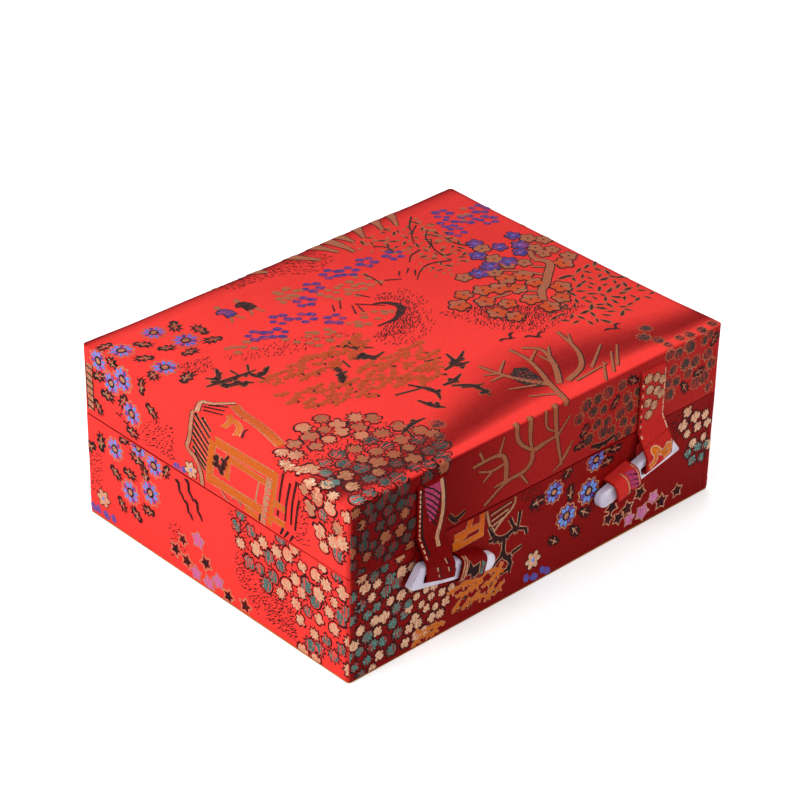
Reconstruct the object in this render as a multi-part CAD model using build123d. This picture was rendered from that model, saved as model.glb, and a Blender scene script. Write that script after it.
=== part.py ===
"""A hinged Chinese brocade box with two bone-peg clasps, in millimetres.

The origin is the middle of the underside. X runs along the length, Y from the clasp side (-Y) to the
hinge side (+Y), and Z up. The lid is closed and both pegs sit in their loops.
"""

import os
from math import cos, radians, sin, tan

from build123d import *

# Overall size
box_length = 180.0
box_depth = 140.0
box_height = 71.0
lid_height = 28.6
seam_gap = 0.3

# Sheet goods
base_board = 3.0
lid_board = 2.2
collar_board = 1.5
brocade = 0.5
satin = 0.4
ribbon = 0.7
underside_card = 1.0
underside_card_proud = 0.25

# Rounding of the covered card
upright_corner_radius = 1.5
rim_radius = 1.2
lid_top_radius = 6.0
foam_thickness = 4.5

# Turned-in borders of the brocade
rim_turn_in = 8.0
underside_turn_in = 10.0

# Inner fittings
collar_rise = 6.6
cushion_thickness = 8.0
cushion_radius = 3.0
ceiling_pad_thickness = 5.0
ceiling_pad_radius = 2.0
fitting_clearance = 0.3

# Hinge cloth on the back
hinge_cloth_length = 172.0
hinge_cloth_height = 34.0
hinge_cloth_corner_radius = 2.0

# Clasps: these are the right one's sizes, and the left one is its mirror image
peg_length = 41.0
peg_thickness = 4.2
peg_tip_thickness = 3.3
peg_head_width = 9.0
peg_tip_width = 6.6
peg_head_slant = 3.4
peg_head_corner_radius = 2.2
peg_head_point_radius = 0.8
peg_tip_radius = 3.2
peg_front_edge_radius = 1.2
peg_back_edge_radius = 0.4
peg_tilt = 15.5
peg_below_seam = 14.2
slot_start = 4.6
slot_length = 15.8
slot_height = 3.5
slot_above_axis = 1.6
slot_corner_radius = 0.8
strap_width = 13.0
strap_from_end = 36.0
strap_to_peg_middle = 8.2
strap_root_length = 10.0
strap_tail_rise = 4.0
strap_lift_rise = 9.0
strap_bend_radius = 0.9
loop_width = 12.0
strap_to_loop = 15.4
loop_bend_radius = 2.2
slit_clearance = 0.15
clasp_clearance = 0.2

# How far a cutting tool runs past what it cuts
overrun = 5.0

# Levels, places on the front and insets from the outer faces, which follow from the sizes above
half_depth = box_depth / 2
seam_height = box_height - lid_height
strap_x = box_length / 2 - strap_from_end
peg_middle_x = strap_x - strap_to_peg_middle
peg_middle_z = seam_height - peg_below_seam
loop_x = strap_x - strap_to_loop
base_board_bottom = underside_card + brocade
base_rim = seam_height - seam_gap / 2
lid_rim = seam_height + seam_gap / 2
base_board_top = base_rim - brocade
lid_board_bottom = lid_rim + brocade
lid_board_top = box_height - brocade - foam_thickness
lid_ceiling = lid_board_top - lid_board
floor_top = base_board_bottom + base_board
collar_top = base_rim + collar_rise
base_wall_inset = brocade + base_board
lid_wall_inset = brocade + lid_board
collar_inset = base_wall_inset + brocade
well_inset = collar_inset + satin + collar_board + satin
cushion_inset = well_inset + fitting_clearance
ceiling_pad_inset = lid_wall_inset + satin + fitting_clearance

# The clasp's own frame: its X along the peg to the head, its Y up across the peg, its Z out of the front
along_peg = Vector(cos(radians(peg_tilt)), 0, sin(radians(peg_tilt)))
clasp_frame = Plane(
    origin=(peg_middle_x, -half_depth, peg_middle_z),
    x_dir=along_peg,
    z_dir=(0, -1, 0),
)
peg_back_out = 2 * clasp_clearance + ribbon
peg_front_out = peg_back_out + peg_thickness


def block(inset, low, high, upright_radius=0.0):
    """A box set in from the outer faces, with its upright corners rounded where asked."""
    made = Box(box_length - 2 * inset, box_depth - 2 * inset, high - low)
    if upright_radius > 0:
        made = fillet(made.edges().filter_by(Axis.Z), upright_radius)
    return Pos(0, 0, (low + high) / 2) * made


def ring(outer_inset, inner_inset, low, high):
    """A rectangular tube between two insets."""
    return block(outer_inset, low, high) - block(inner_inset, low - overrun, high + overrun)


def edges_at(shape, level):
    """The edges that lie flat at one level."""
    near = brocade / 100
    return shape.edges().filter_by(
        lambda e: abs(e.bounding_box().min.Z - level) < near and abs(e.bounding_box().max.Z - level) < near
    )


def domed_section(width, low, high, top_radius):
    """An upright rectangle with its two upper corners rounded."""
    outline = Pos(0, (low + high) / 2) * Rectangle(width, high - low)
    return fillet(outline.vertices().group_by(Axis.Y)[-1], top_radius)


def soft_block(inset, low, high, top_radius, upright_radius):
    """A box with soft upper edges, as a padded lid has."""
    length = box_length - 2 * inset
    depth = box_depth - 2 * inset
    lengthwise = extrude(Plane.XZ * domed_section(length, low, high, top_radius), depth / 2, both=True)
    crosswise = extrude(Plane.YZ * domed_section(depth, low, high, top_radius), length / 2, both=True)
    return lengthwise & crosswise & block(inset, low, high, upright_radius)


def cover_core_of_base():
    """What the brocade of the base is wrapped round."""
    return block(brocade, base_board_bottom, base_board_top, upright_corner_radius - brocade)


def cover_core_of_lid():
    """What the brocade of the lid is wrapped round: card below, foam above."""
    return soft_block(
        brocade,
        lid_board_bottom,
        box_height - brocade,
        lid_top_radius - brocade,
        upright_corner_radius - brocade,
    )


def walls(prefix, inset, thickness, low, high):
    """Four upright boards: front and back run the full length, and the ends fit between them."""
    length = box_length - 2 * inset
    depth = box_depth - 2 * inset
    long_board = Box(length, thickness, high - low)
    end_board = Box(thickness, depth - 2 * thickness, high - low)
    middle = (low + high) / 2
    across = (depth - thickness) / 2
    beside = (length - thickness) / 2
    return {
        f"{prefix}_front_board": Pos(0, -across, middle) * long_board,
        f"{prefix}_back_board": Pos(0, across, middle) * long_board,
        f"{prefix}_left_board": Pos(-beside, 0, middle) * end_board,
        f"{prefix}_right_board": Pos(beside, 0, middle) * end_board,
    }


def both_sides(shape):
    """A right-hand shape together with its mirror image."""
    return shape + mirror(shape, about=Plane.YZ)


def peg_width_at(from_middle):
    """The peg's width at a place along it, measured from its middle towards the head."""
    return peg_tip_width + (peg_head_width - peg_tip_width) * (from_middle / peg_length + 1 / 2)


def ribbon_band(points, radius):
    """The cut face of a ribbon that runs along a bent line, which is the middle of its thickness."""
    line = FilletPolyline(*points, radius=radius)
    near = line.offset_2d(ribbon / 2, side=Side.LEFT, closed=False)
    far = line.offset_2d(ribbon / 2, side=Side.RIGHT, closed=False)
    ends = [Line(near @ 0, far @ 1), Line(near @ 1, far @ 0)]
    return make_face([*near.edges(), *far.edges(), *ends])


def make_peg():
    """A flat tapered peg: pointed wide head, slot for the strap, round tip, flat back and soft front."""
    head = peg_length / 2
    outline = make_face(Polyline(
        (head, -peg_head_width / 2),
        (head - peg_head_slant, peg_head_width / 2),
        (-head, peg_tip_width / 2),
        (-head, -peg_tip_width / 2),
        close=True,
    ))
    tip_corners = outline.vertices().group_by(Axis.X)[0]
    outline = fillet(tip_corners, peg_tip_radius)
    outline = fillet(outline.vertices().sort_by(Axis.X)[-1:], peg_head_point_radius)
    outline = fillet(outline.vertices().sort_by(Axis.Y)[-1:], peg_head_corner_radius)
    body = Pos(0, 0, peg_back_out) * extrude(outline, peg_thickness)
    shaving = make_face(Polyline(
        (head, peg_front_out),
        (-head, peg_back_out + peg_tip_thickness),
        (-head, peg_front_out + overrun),
        (head, peg_front_out + overrun),
        close=True,
    ))
    body -= extrude(Plane.XZ * shaving, peg_head_width, both=True)
    middle_out = peg_back_out + peg_tip_thickness / 2
    body = fillet(body.edges().filter_by(lambda e: e.bounding_box().min.Z > middle_out), peg_front_edge_radius)
    body = fillet(body.edges().filter_by(
        lambda e: e.bounding_box().max.Z < peg_back_out + peg_back_edge_radius / 2
    ), peg_back_edge_radius)
    slot = Box(slot_length, slot_height, peg_thickness + 2 * overrun)
    slot = fillet(slot.edges().filter_by(Axis.Z), slot_corner_radius)
    slot = Pos(
        head - slot_start - slot_length / 2,
        slot_above_axis - slot_height / 2,
        peg_back_out + peg_thickness / 2,
    ) * slot
    return clasp_frame.location * (body - slot)


def make_loop():
    """A ribbon that arches over the peg, with both ends through slits in the front of the base."""
    middle = (loop_x - peg_middle_x) / cos(radians(peg_tilt))
    reach = loop_reach()
    front = peg_front_out + clasp_clearance + ribbon / 2
    face = ribbon_band(
        [(-reach, -base_wall_inset), (-reach, front), (reach, front), (reach, -base_wall_inset)],
        loop_bend_radius,
    )
    across_peg = Plane(origin=(middle, 0, 0), x_dir=(0, 1, 0), z_dir=(1, 0, 0))
    return clasp_frame.location * extrude(across_peg * face, loop_width / 2, both=True)


def loop_reach():
    """How far the middle of each leg of the loop stands from the peg's axis."""
    widest = peg_width_at((loop_x - peg_middle_x) / cos(radians(peg_tilt)) + loop_width / 2)
    return widest / 2 + clasp_clearance + ribbon / 2


def loop_slits():
    """The two slits that the right loop's legs go through."""
    middle = (loop_x - peg_middle_x) / cos(radians(peg_tilt))
    slit = Box(
        loop_width + 2 * slit_clearance,
        ribbon + 2 * slit_clearance,
        2 * base_wall_inset + overrun,
    )
    upper = Pos(middle, loop_reach(), 0) * slit
    lower = Pos(middle, -loop_reach(), 0) * slit
    return clasp_frame.location * (upper + lower)


def strap_face(x):
    """The strap's cut face at one place along the box. Its root is level, and its lower end follows the peg."""
    slope = cos(radians(peg_tilt))
    out = clasp_clearance + ribbon / 2
    front = peg_front_out + out
    axis = peg_middle_z + (x - peg_middle_x) * tan(radians(peg_tilt))
    rail_top = axis + peg_width_at((x - peg_middle_x) / slope) / 2 / slope
    fold = axis + (slot_above_axis - slot_height) / slope + out
    root_level = lid_board_top + slit_clearance + ribbon / 2
    face = ribbon_band(
        [
            (brocade + strap_root_length, root_level),
            (-out, root_level),
            (-out, rail_top + strap_lift_rise),
            (-front, rail_top + clasp_clearance),
            (-front, fold),
            (-out, fold),
            (-out, rail_top + strap_tail_rise),
        ],
        strap_bend_radius,
    )
    return Plane(origin=(x, -half_depth, 0), x_dir=(0, 1, 0), z_dir=(1, 0, 0)) * face


def make_strap():
    """A ribbon from under the lid's foam, out through its slit, down the front and round the peg's rail."""
    return loft([strap_face(strap_x - strap_width / 2), strap_face(strap_x + strap_width / 2)], ruled=True)


def strap_pocket():
    """The room for the strap's root in the lid's foam and brocade."""
    height = ribbon + 2 * slit_clearance
    depth = overrun + brocade + strap_root_length + slit_clearance
    tool = Box(strap_width + 2 * slit_clearance, depth, height)
    return Pos(strap_x, -half_depth - overrun + depth / 2, lid_board_top + height / 2) * tool


def make_base_brocade():
    """The brocade of the base: four sides, turned over the rim and turned in underneath."""
    outside = block(0, underside_card, base_rim, upright_corner_radius)
    outside = fillet(edges_at(outside, base_rim), rim_radius)
    skin = outside - cover_core_of_base()
    skin -= block(collar_inset, base_board_top - overrun, base_rim + overrun)
    skin -= block(underside_turn_in, underside_card - overrun, base_board_bottom + overrun)
    skin += ring(base_wall_inset, collar_inset, base_board_top - rim_turn_in, base_board_top)
    return skin - both_sides(loop_slits())


def make_lid_brocade():
    """The brocade of the lid: over the foam, down four sides and turned in at the rim."""
    outside = soft_block(0, lid_rim, box_height, lid_top_radius, upright_corner_radius)
    outside = fillet(edges_at(outside, lid_rim), rim_radius)
    skin = outside - cover_core_of_lid()
    skin -= block(lid_wall_inset + brocade, lid_rim - overrun, lid_board_bottom + overrun)
    skin += ring(lid_wall_inset, lid_wall_inset + brocade, lid_board_bottom, lid_board_bottom + rim_turn_in)
    return skin - both_sides(strap_pocket())


def make_collar_satin():
    """Satin over the inner collar: up its inside, over its top and down its outside."""
    cover = ring(collar_inset, well_inset, floor_top, collar_top)
    card = ring(collar_inset + satin, well_inset - satin, floor_top - overrun, collar_top - satin)
    bare = ring(collar_inset - satin, collar_inset + satin, floor_top - overrun, base_board_top - rim_turn_in)
    return cover - card - bare


def cushion_block(inset, low, high, radius):
    """A pad with its upper edges and upright corners rounded."""
    made = block(inset, low, high, radius)
    return fillet(edges_at(made, high), radius - satin / 2)


def ceiling_block(inset, thickness, radius):
    """A pad that hangs under the lid's top board, with its lower edges rounded."""
    made = block(inset, lid_ceiling - thickness, lid_ceiling, radius)
    return fillet(edges_at(made, lid_ceiling - thickness), radius - satin / 2)


def make_hinge_cloth():
    """A strip glued over the seam on the back, which bends as the lid opens."""
    face = Rectangle(hinge_cloth_length, hinge_cloth_height)
    face = fillet(face.vertices(), hinge_cloth_corner_radius)
    upright = Plane(origin=(0, half_depth, seam_height), x_dir=(1, 0, 0), z_dir=(0, 1, 0))
    return extrude(upright * face, brocade)


def make_base_parts():
    """Every piece of the base, by name."""
    parts = walls("base", brocade, base_board, base_board_bottom, base_board_top)
    core = cover_core_of_base()
    parts = {name: board & core for name, board in parts.items()}
    parts["base_front_board"] -= both_sides(loop_slits())
    parts["base_floor_board"] = block(base_wall_inset, base_board_bottom, floor_top)
    parts["underside_card"] = block(
        -underside_card_proud, 0, underside_card, upright_corner_radius + underside_card_proud
    )
    parts["base_brocade"] = make_base_brocade()
    parts.update(walls("collar", collar_inset + satin, collar_board, floor_top, collar_top - satin))
    parts["collar_satin"] = make_collar_satin()
    cushion_top = floor_top + cushion_thickness
    parts["base_cushion_foam"] = cushion_block(
        cushion_inset + satin, floor_top, cushion_top - satin, cushion_radius - satin
    )
    parts["base_cushion_satin"] = cushion_block(
        cushion_inset, floor_top, cushion_top, cushion_radius
    ) - parts["base_cushion_foam"]
    parts["hinge_cloth"] = make_hinge_cloth()
    return parts


def make_lid_parts():
    """Every piece of the lid, by name."""
    core = cover_core_of_lid()
    parts = walls("lid", brocade, lid_board, lid_board_bottom, lid_ceiling)
    parts = {name: board & core for name, board in parts.items()}
    parts["lid_top_board"] = block(brocade, lid_ceiling, lid_board_top) & core
    foam = core & block(brocade, lid_board_top, box_height)
    parts["lid_foam_pad"] = foam - both_sides(strap_pocket())
    parts["lid_brocade"] = make_lid_brocade()
    parts["lid_lining"] = ring(lid_wall_inset, lid_wall_inset + satin, lid_board_bottom + rim_turn_in, lid_ceiling)
    pad_foam = ceiling_block(ceiling_pad_inset + satin, ceiling_pad_thickness - satin, ceiling_pad_radius - satin)
    parts["lid_ceiling_foam"] = pad_foam
    parts["lid_ceiling_satin"] = ceiling_block(
        ceiling_pad_inset, ceiling_pad_thickness, ceiling_pad_radius
    ) - pad_foam
    return parts


def make_clasp_parts():
    """Both clasps, by name."""
    right = {"peg": make_peg(), "strap": make_strap(), "loop": make_loop()}
    parts = {f"right_{name}": shape for name, shape in right.items()}
    parts.update({f"left_{name}": mirror(shape, about=Plane.YZ) for name, shape in right.items()})
    return parts


def main():
    """Writes one STEP file for each piece."""
    os.makedirs("parts", exist_ok=True)
    pieces = {**make_base_parts(), **make_lid_parts(), **make_clasp_parts()}
    for name, shape in pieces.items():
        export_step(shape, f"parts/{name}.step")


main()
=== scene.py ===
"""Looks of a hinged brocade gift box with two peg clasps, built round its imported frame.

Flat patterns are laid out in millimetres on the uncut cloth and then wrapped round the card. On that cloth
the lid's top is the middle rectangle, and each wall is a flap beside it that starts at the top's edge.
"""

import logging
import math
from dataclasses import dataclass
from enum import Enum
from typing import Callable, Iterable, Sequence

import bmesh
import bpy
import numpy as np
from mathutils import Matrix, Vector
from mathutils.kdtree import KDTree


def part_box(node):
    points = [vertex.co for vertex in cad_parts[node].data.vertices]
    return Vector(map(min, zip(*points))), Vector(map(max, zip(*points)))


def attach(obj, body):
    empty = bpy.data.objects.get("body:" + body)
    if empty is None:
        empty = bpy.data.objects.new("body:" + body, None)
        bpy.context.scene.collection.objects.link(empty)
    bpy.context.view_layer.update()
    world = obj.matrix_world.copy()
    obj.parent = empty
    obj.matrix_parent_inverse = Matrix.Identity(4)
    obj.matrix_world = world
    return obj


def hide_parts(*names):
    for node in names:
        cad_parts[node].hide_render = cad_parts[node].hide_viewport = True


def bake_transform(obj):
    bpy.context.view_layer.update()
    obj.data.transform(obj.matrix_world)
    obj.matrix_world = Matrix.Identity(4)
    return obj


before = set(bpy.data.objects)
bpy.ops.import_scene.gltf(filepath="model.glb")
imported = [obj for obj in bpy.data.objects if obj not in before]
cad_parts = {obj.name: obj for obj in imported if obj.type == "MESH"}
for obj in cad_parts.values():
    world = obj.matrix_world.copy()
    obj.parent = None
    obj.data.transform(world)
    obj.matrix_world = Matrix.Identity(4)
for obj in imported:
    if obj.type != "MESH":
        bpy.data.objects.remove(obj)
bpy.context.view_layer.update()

LOG = logging.getLogger("brocade_box")
MM = 0.001
Array = np.ndarray
Point = tuple[float, float]
Colour = tuple[float, float, float]


def linear(red: int, green: int, blue: int) -> Colour:
    """A colour as a paint chart gives it, turned into the linear values that shaders use.

    Args:
        red: 0 to 255.
        green: 0 to 255.
        blue: 0 to 255.

    Returns:
        The linear colour.
    """
    def one(value: float) -> float:
        """One channel."""
        share = value / 255
        return share / 12.92 if share <= 0.04045 else ((share + 0.055) / 1.055) ** 2.4
    return one(red), one(green), one(blue)


def smoothstep(value: Array) -> Array:
    """Eases 0 to 1, and holds its ends."""
    share = np.clip(value, 0.0, 1.0)
    return share * share * (3 - 2 * share)


class Value:
    """A shader socket that adds Math nodes where it is used in an expression."""

    def __init__(self, graph: "Graph", socket: bpy.types.NodeSocket) -> None:
        """Wraps one output socket of a graph."""
        self.graph = graph
        self.socket = socket

    def _math(self, operation: str, first: object, second: object = 0.0) -> "Value":
        """One Math node on two operands."""
        return self.graph.node("ShaderNodeMath", {"operation": operation}, {0: first, 1: second})

    def __add__(self, other: object) -> "Value":
        """self + other."""
        return self._math("ADD", self, other)

    __radd__ = __add__

    def __sub__(self, other: object) -> "Value":
        """self - other."""
        return self._math("SUBTRACT", self, other)

    def __rsub__(self, other: object) -> "Value":
        """other - self."""
        return self._math("SUBTRACT", other, self)

    def __mul__(self, other: object) -> "Value":
        """self * other."""
        return self._math("MULTIPLY", self, other)

    __rmul__ = __mul__

    def sine(self) -> "Value":
        """The sine of this value."""
        return self._math("SINE", self)

    def between(self, low: float, high: float) -> "Value":
        """This value eased from 0 at low to 1 at high."""
        settings = {"interpolation_type": "SMOOTHSTEP"}
        return self.graph.node("ShaderNodeMapRange", settings, {0: self, 1: low, 2: high})


class Graph:
    """The node tree of one new material, with a Principled shader as its end."""

    def __init__(self, name: str) -> None:
        """Makes an empty material.

        Args:
            name: the material's name.
        """
        self.material = bpy.data.materials.new(name)
        self.material.use_nodes = True
        self.tree = self.material.node_tree
        self.tree.nodes.clear()

    def node(self, kind: str, settings: dict | None = None, inputs: dict | None = None,
            out: int = 0) -> Value:
        """Adds one node.

        Args:
            kind: the node's type.
            settings: attributes that are set first; "stops" is a ramp's list of places and colours.
            inputs: values or links by socket name or number.
            out: which output comes back.

        Returns:
            The chosen output, wrapped.
        """
        made = self.tree.nodes.new(kind)
        for name, value in (settings or {}).items():
            if name == "stops":
                while len(made.color_ramp.elements) < len(value):
                    made.color_ramp.elements.new(1.0)
                for element, (place, colour) in zip(made.color_ramp.elements, value):
                    element.position = place
                    element.color = (*colour, 1.0)
            else:
                setattr(made, name, value)
        for name, value in (inputs or {}).items():
            socket = made.inputs[name]
            if isinstance(value, Value):
                self.tree.links.new(value.socket, socket)
            elif getattr(socket.default_value, "__len__", lambda: 0)() == 4 and len(value) == 3:
                socket.default_value = (*value, 1.0)
            else:
                socket.default_value = value
        return Value(self, made.outputs[out] if made.outputs else None)

    def place(self) -> Value:
        """The point on the finished piece, in metres."""
        return self.node("ShaderNodeTexCoord", out=3)

    def attribute(self, name: str) -> Value:
        """A number kept on the mesh."""
        return self.node("ShaderNodeAttribute", {"attribute_name": name}, out=2)

    def axes(self, vector: Value) -> tuple[Value, Value, Value]:
        """The three parts of a vector.

        Args:
            vector: three numbers for each point.

        Returns:
            Across, along and up.
        """
        first = self.node("ShaderNodeSeparateXYZ", inputs={0: vector})
        outputs = first.socket.node.outputs
        return first, Value(self, outputs[1]), Value(self, outputs[2])

    def noise(self, place: Value, per_metre: float, detail: float = 2.0) -> Value:
        """A smooth random value of that fineness."""
        return self.node("ShaderNodeTexNoise", inputs={"Vector": place, "Scale": per_metre,
            "Detail": detail})

    def mix(self, share: object, first: object, second: object, blend: str = "MIX") -> Value:
        """Two colours mixed by a share."""
        settings = {"data_type": "RGBA", "blend_type": blend}
        return self.node("ShaderNodeMix", settings, {0: share, 6: first, 7: second}, out=2)

    def bump(self, height: Value, depth: float, strength: float = 1.0) -> Value:
        """A surface normal from a height of that depth, in metres."""
        return self.node("ShaderNodeBump", inputs={"Height": height, "Distance": depth,
            "Strength": strength})

    def finish(self, inputs: dict) -> bpy.types.Material:
        """Ends the tree in a Principled shader with these sockets.

        Args:
            inputs: values or links by socket name.

        Returns:
            The finished material.
        """
        shader = self.node("ShaderNodeBsdfPrincipled", inputs=inputs)
        self.node("ShaderNodeOutputMaterial", inputs={"Surface": shader})
        return self.material


class Finish:
    """A finish that makes its material once, the first time it is asked for."""

    made: dict[str, bpy.types.Material] = {}
    name: str

    def material(self) -> bpy.types.Material:
        """The finish's material.

        Returns:
            The same one at every call.
        """
        if self.name not in Finish.made:
            Finish.made[self.name] = self.shade(Graph(self.name))
        return Finish.made[self.name]

    def shade(self, graph: Graph) -> bpy.types.Material:
        """Builds the nodes."""
        raise NotImplementedError


YARNS_PER_METRE = 2600.0


def woven_height(graph: Graph, place: Value, pitch: float) -> Value:
    """The ribs of a twill: diagonal on every face of the box, with a fine uneven yarn.

    Args:
        graph: the material's nodes.
        place: the point on the piece.
        pitch: the distance from rib to rib, in metres.

    Returns:
        A height for a bump.
    """
    x, y, z = graph.axes(place)
    diagonal = ((x + y + z) * (2 * math.pi / pitch)).sine()
    yarn = graph.noise(place, YARNS_PER_METRE, 1.0)
    return diagonal * 0.5 + yarn


@dataclass(frozen=True)
class SatinGround(Finish):
    """The red satin ground of the brocade. Its painted sheen makes it bright where the cloth faces up or to
    the ends, and painted shade darkens the rest.
    """

    name: str = "red_satin_ground"
    # painted highlight and painted shade: the lit red and the shaded red of one satin
    lit: Colour = linear(248, 60, 54)
    shaded: Colour = linear(108, 0, 2)
    roughness: float = 0.40
    pitch: float = 0.00052
    relief: float = 0.00007
    clouds_per_metre: float = 60.0
    grains_per_metre: float = 1500.0

    def shade(self, graph: Graph) -> bpy.types.Material:
        """Red mixed from the painted shaded and lit reds by the painted light, with a twill grain and faint
        clouding.

        Args:
            graph: the material's nodes.

        Returns:
            The finished material.
        """
        place = graph.place()
        height = woven_height(graph, place, self.pitch)
        cloud = graph.noise(place, self.clouds_per_metre)
        grain = graph.noise(place, self.grains_per_metre, 1.0)
        # painted sheen and shade: the painted light number, with random clouding and grain, mixes the
        # shaded red into the lit red
        glow = graph.attribute("glow") * (0.90 + 0.12 * cloud) + (grain - 0.5) * 0.22
        colour = graph.mix(glow.between(0.0, 1.0), self.shaded, self.lit)
        return graph.finish({
            "Base Color": colour,
            "Roughness": self.roughness + 0.1 * grain,
            "Specular IOR Level": 0.02,
            "Normal": graph.bump(height, self.relief, 0.8),
        })


@dataclass(frozen=True)
class WeftThread(Finish):
    """One colour of pattern thread, with painted light and shade: a painted lit colour where it faces the
    light, a painted shaded colour elsewhere, and streaks where the ground lies over it.
    """

    name: str
    painted_lit_colour: Colour
    painted_shaded_colour: Colour
    # painted glints: sparkle sets their strength and glint their colour
    sparkle: float = 0.3
    cover: float = 0.6
    glint: Colour = linear(255, 228, 196)
    roughness: float = 0.5
    # painted shade in the gaps between floats
    gap_shade: Colour = linear(60, 8, 12)
    slowness: float = 0.16
    streaks_per_metre: float = 1500.0
    specks_per_metre: float = 1900.0
    pitch: float = 0.00062
    relief: float = 0.0001

    def shade(self, graph: Graph) -> bpy.types.Material:
        """Short floats with the red ground showing between them, painted shade in the gaps and painted
        glints on top.

        Args:
            graph: the material's nodes.

        Returns:
            The finished material.
        """
        place = graph.place()
        x, y, z = graph.axes(place)
        facing = graph.axes(graph.node("ShaderNodeNewGeometry", out=1))[1]
        front = (facing * facing).between(0.3, 0.7)
        lengthways = graph.node("ShaderNodeCombineXYZ", inputs={
            0: x * (self.slowness + front * (1 - self.slowness)), 1: y, 2: z * self.slowness,
        })
        streak = graph.noise(lengthways, self.streaks_per_metre, 1.0)
        speck = graph.noise(place, self.specks_per_metre, 1.0)
        # painted light and shade: the thread's lit and shaded colours mixed by the painted light number
        show = graph.attribute("glow") + (speck - 0.5) * 0.4
        colour = graph.mix(show.between(0.0, 1.0), self.painted_shaded_colour, self.painted_lit_colour)
        # painted glints on the floats, strongest where the painted light goes above 1
        glow = graph.attribute("glow")
        lustre = glow.between(0.05, 0.5) + glow.between(0.95, 1.3) * 1.6
        shine = (speck.between(0.56, 0.64) * self.sparkle * lustre).between(0.0, 1.0)
        colour = graph.mix(shine, colour, self.glint)
        # the red ground between floats carries the ground's painted sheen and shade
        ground = graph.mix(graph.attribute("ground"), SatinGround.shaded, SatinGround.lit)
        colour = graph.mix(streak.between(0.52, 0.60) * self.cover, colour, ground)
        # painted shade in the gaps between floats
        gap_shade_mask = (1 - speck).between(0.62, 0.75) * 0.35
        colour = graph.mix(gap_shade_mask, colour, self.gap_shade)
        floats = ((x * 0.35 + y * 0.35 + z) * (2 * math.pi / self.pitch)).sine()
        return graph.finish({
            "Base Color": colour,
            "Roughness": self.roughness,
            "Specular IOR Level": 0.08,
            "Normal": graph.bump(floats * 0.4 + streak + speck, self.relief, 0.9),
        })


@dataclass(frozen=True)
class PlainSatin(Finish):
    """The plain satin of the inside."""

    name: str = "gold_satin"
    colour: Colour = linear(226, 178, 92)
    fold: Colour = linear(176, 124, 48)
    pitch: float = 0.0005
    relief: float = 0.00005
    clouds_per_metre: float = 45.0
    grains_per_metre: float = 1700.0

    def shade(self, graph: Graph) -> bpy.types.Material:
        """Smooth gold with a twill grain and soft clouding.

        Args:
            graph: the material's nodes.

        Returns:
            The finished material.
        """
        place = graph.place()
        cloud = graph.noise(place, self.clouds_per_metre, 3.0)
        grain = graph.noise(place, self.grains_per_metre, 1.0)
        return graph.finish({
            "Base Color": graph.mix(cloud * 0.7 + grain * 0.3, self.fold, self.colour),
            "Roughness": 0.32 + 0.12 * grain,
            "Sheen Weight": 0.15,
            "Normal": graph.bump(woven_height(graph, place, self.pitch), self.relief, 0.7),
        })


@dataclass(frozen=True)
class Board(Finish):
    """Paper or board, with fibres and a slight mottle."""

    name: str
    colour: Colour
    fleck: Colour
    roughness: float = 0.85
    metallic: float = 0.0
    relief: float = 0.0001
    fibres_per_metre: float = 500.0
    mottles_per_metre: float = 90.0

    def shade(self, graph: Graph) -> bpy.types.Material:
        """A mottled base with short fibres.

        Args:
            graph: the material's nodes.

        Returns:
            The finished material.
        """
        place = graph.place()
        stretched = graph.node("ShaderNodeMapping", {"vector_type": "POINT"}, {
            "Vector": place, "Scale": (1.0, 6.0, 2.0),
        })
        fibre = graph.noise(stretched, self.fibres_per_metre, 4.0)
        mottle = graph.noise(place, self.mottles_per_metre, 3.0)
        flecked = (fibre * 0.6 + mottle * 0.5).between(0.3, 0.8)
        return graph.finish({
            "Base Color": graph.mix(flecked, self.fleck, self.colour),
            "Roughness": self.roughness - 0.12 * fibre,
            "Metallic": self.metallic,
            "Normal": graph.bump(fibre, self.relief, 0.5),
        })


@dataclass(frozen=True)
class PegPlastic(Finish):
    """The pegs' milky white plastic, cut to look like bone."""

    name: str = "peg_white"
    colour: Colour = linear(232, 224, 236)
    hollow: Colour = linear(196, 186, 206)
    relief: float = 0.00004
    clouds_per_metre: float = 120.0
    lines_per_metre: float = 1600.0

    def shade(self, graph: Graph) -> bpy.types.Material:
        """Glossy off-white with a faint cloud and long polishing lines.

        Args:
            graph: the material's nodes.

        Returns:
            The finished material.
        """
        place = graph.place()
        cloud = graph.noise(place, self.clouds_per_metre, 3.0)
        drawn = graph.node("ShaderNodeMapping", inputs={"Vector": place, "Scale": (0.2, 1.0, 1.0)})
        lines = graph.noise(drawn, self.lines_per_metre, 2.0)
        return graph.finish({
            "Base Color": graph.mix(cloud.between(0.35, 0.75), self.hollow, self.colour),
            "Roughness": 0.2 + 0.14 * lines,
            "Coat Weight": 0.3,
            "Coat Roughness": 0.12,
            "Subsurface Weight": 0.0,
            "Normal": graph.bump(lines + cloud, self.relief, 0.5),
        })


@dataclass(frozen=True)
class Foam(Finish):
    """Pale foam under the covers."""

    name: str = "pale_foam"
    colour: Colour = linear(228, 214, 170)
    # painted shade in the open cells: each cell's middle gets this darker colour
    hollow: Colour = linear(190, 172, 120)
    cells_per_metre: float = 900.0
    relief: float = 0.0003

    def shade(self, graph: Graph) -> bpy.types.Material:
        """Open cells, with painted shade in the middle of each.

        Args:
            graph: the material's nodes.

        Returns:
            The finished material.
        """
        place = graph.place()
        cells = graph.node("ShaderNodeTexVoronoi", inputs={"Vector": place, "Scale": self.cells_per_metre})
        return graph.finish({
            "Base Color": graph.mix(cells, self.hollow, self.colour),
            "Roughness": 0.95,
            "Normal": graph.bump(cells, self.relief, 0.8),
        })


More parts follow.
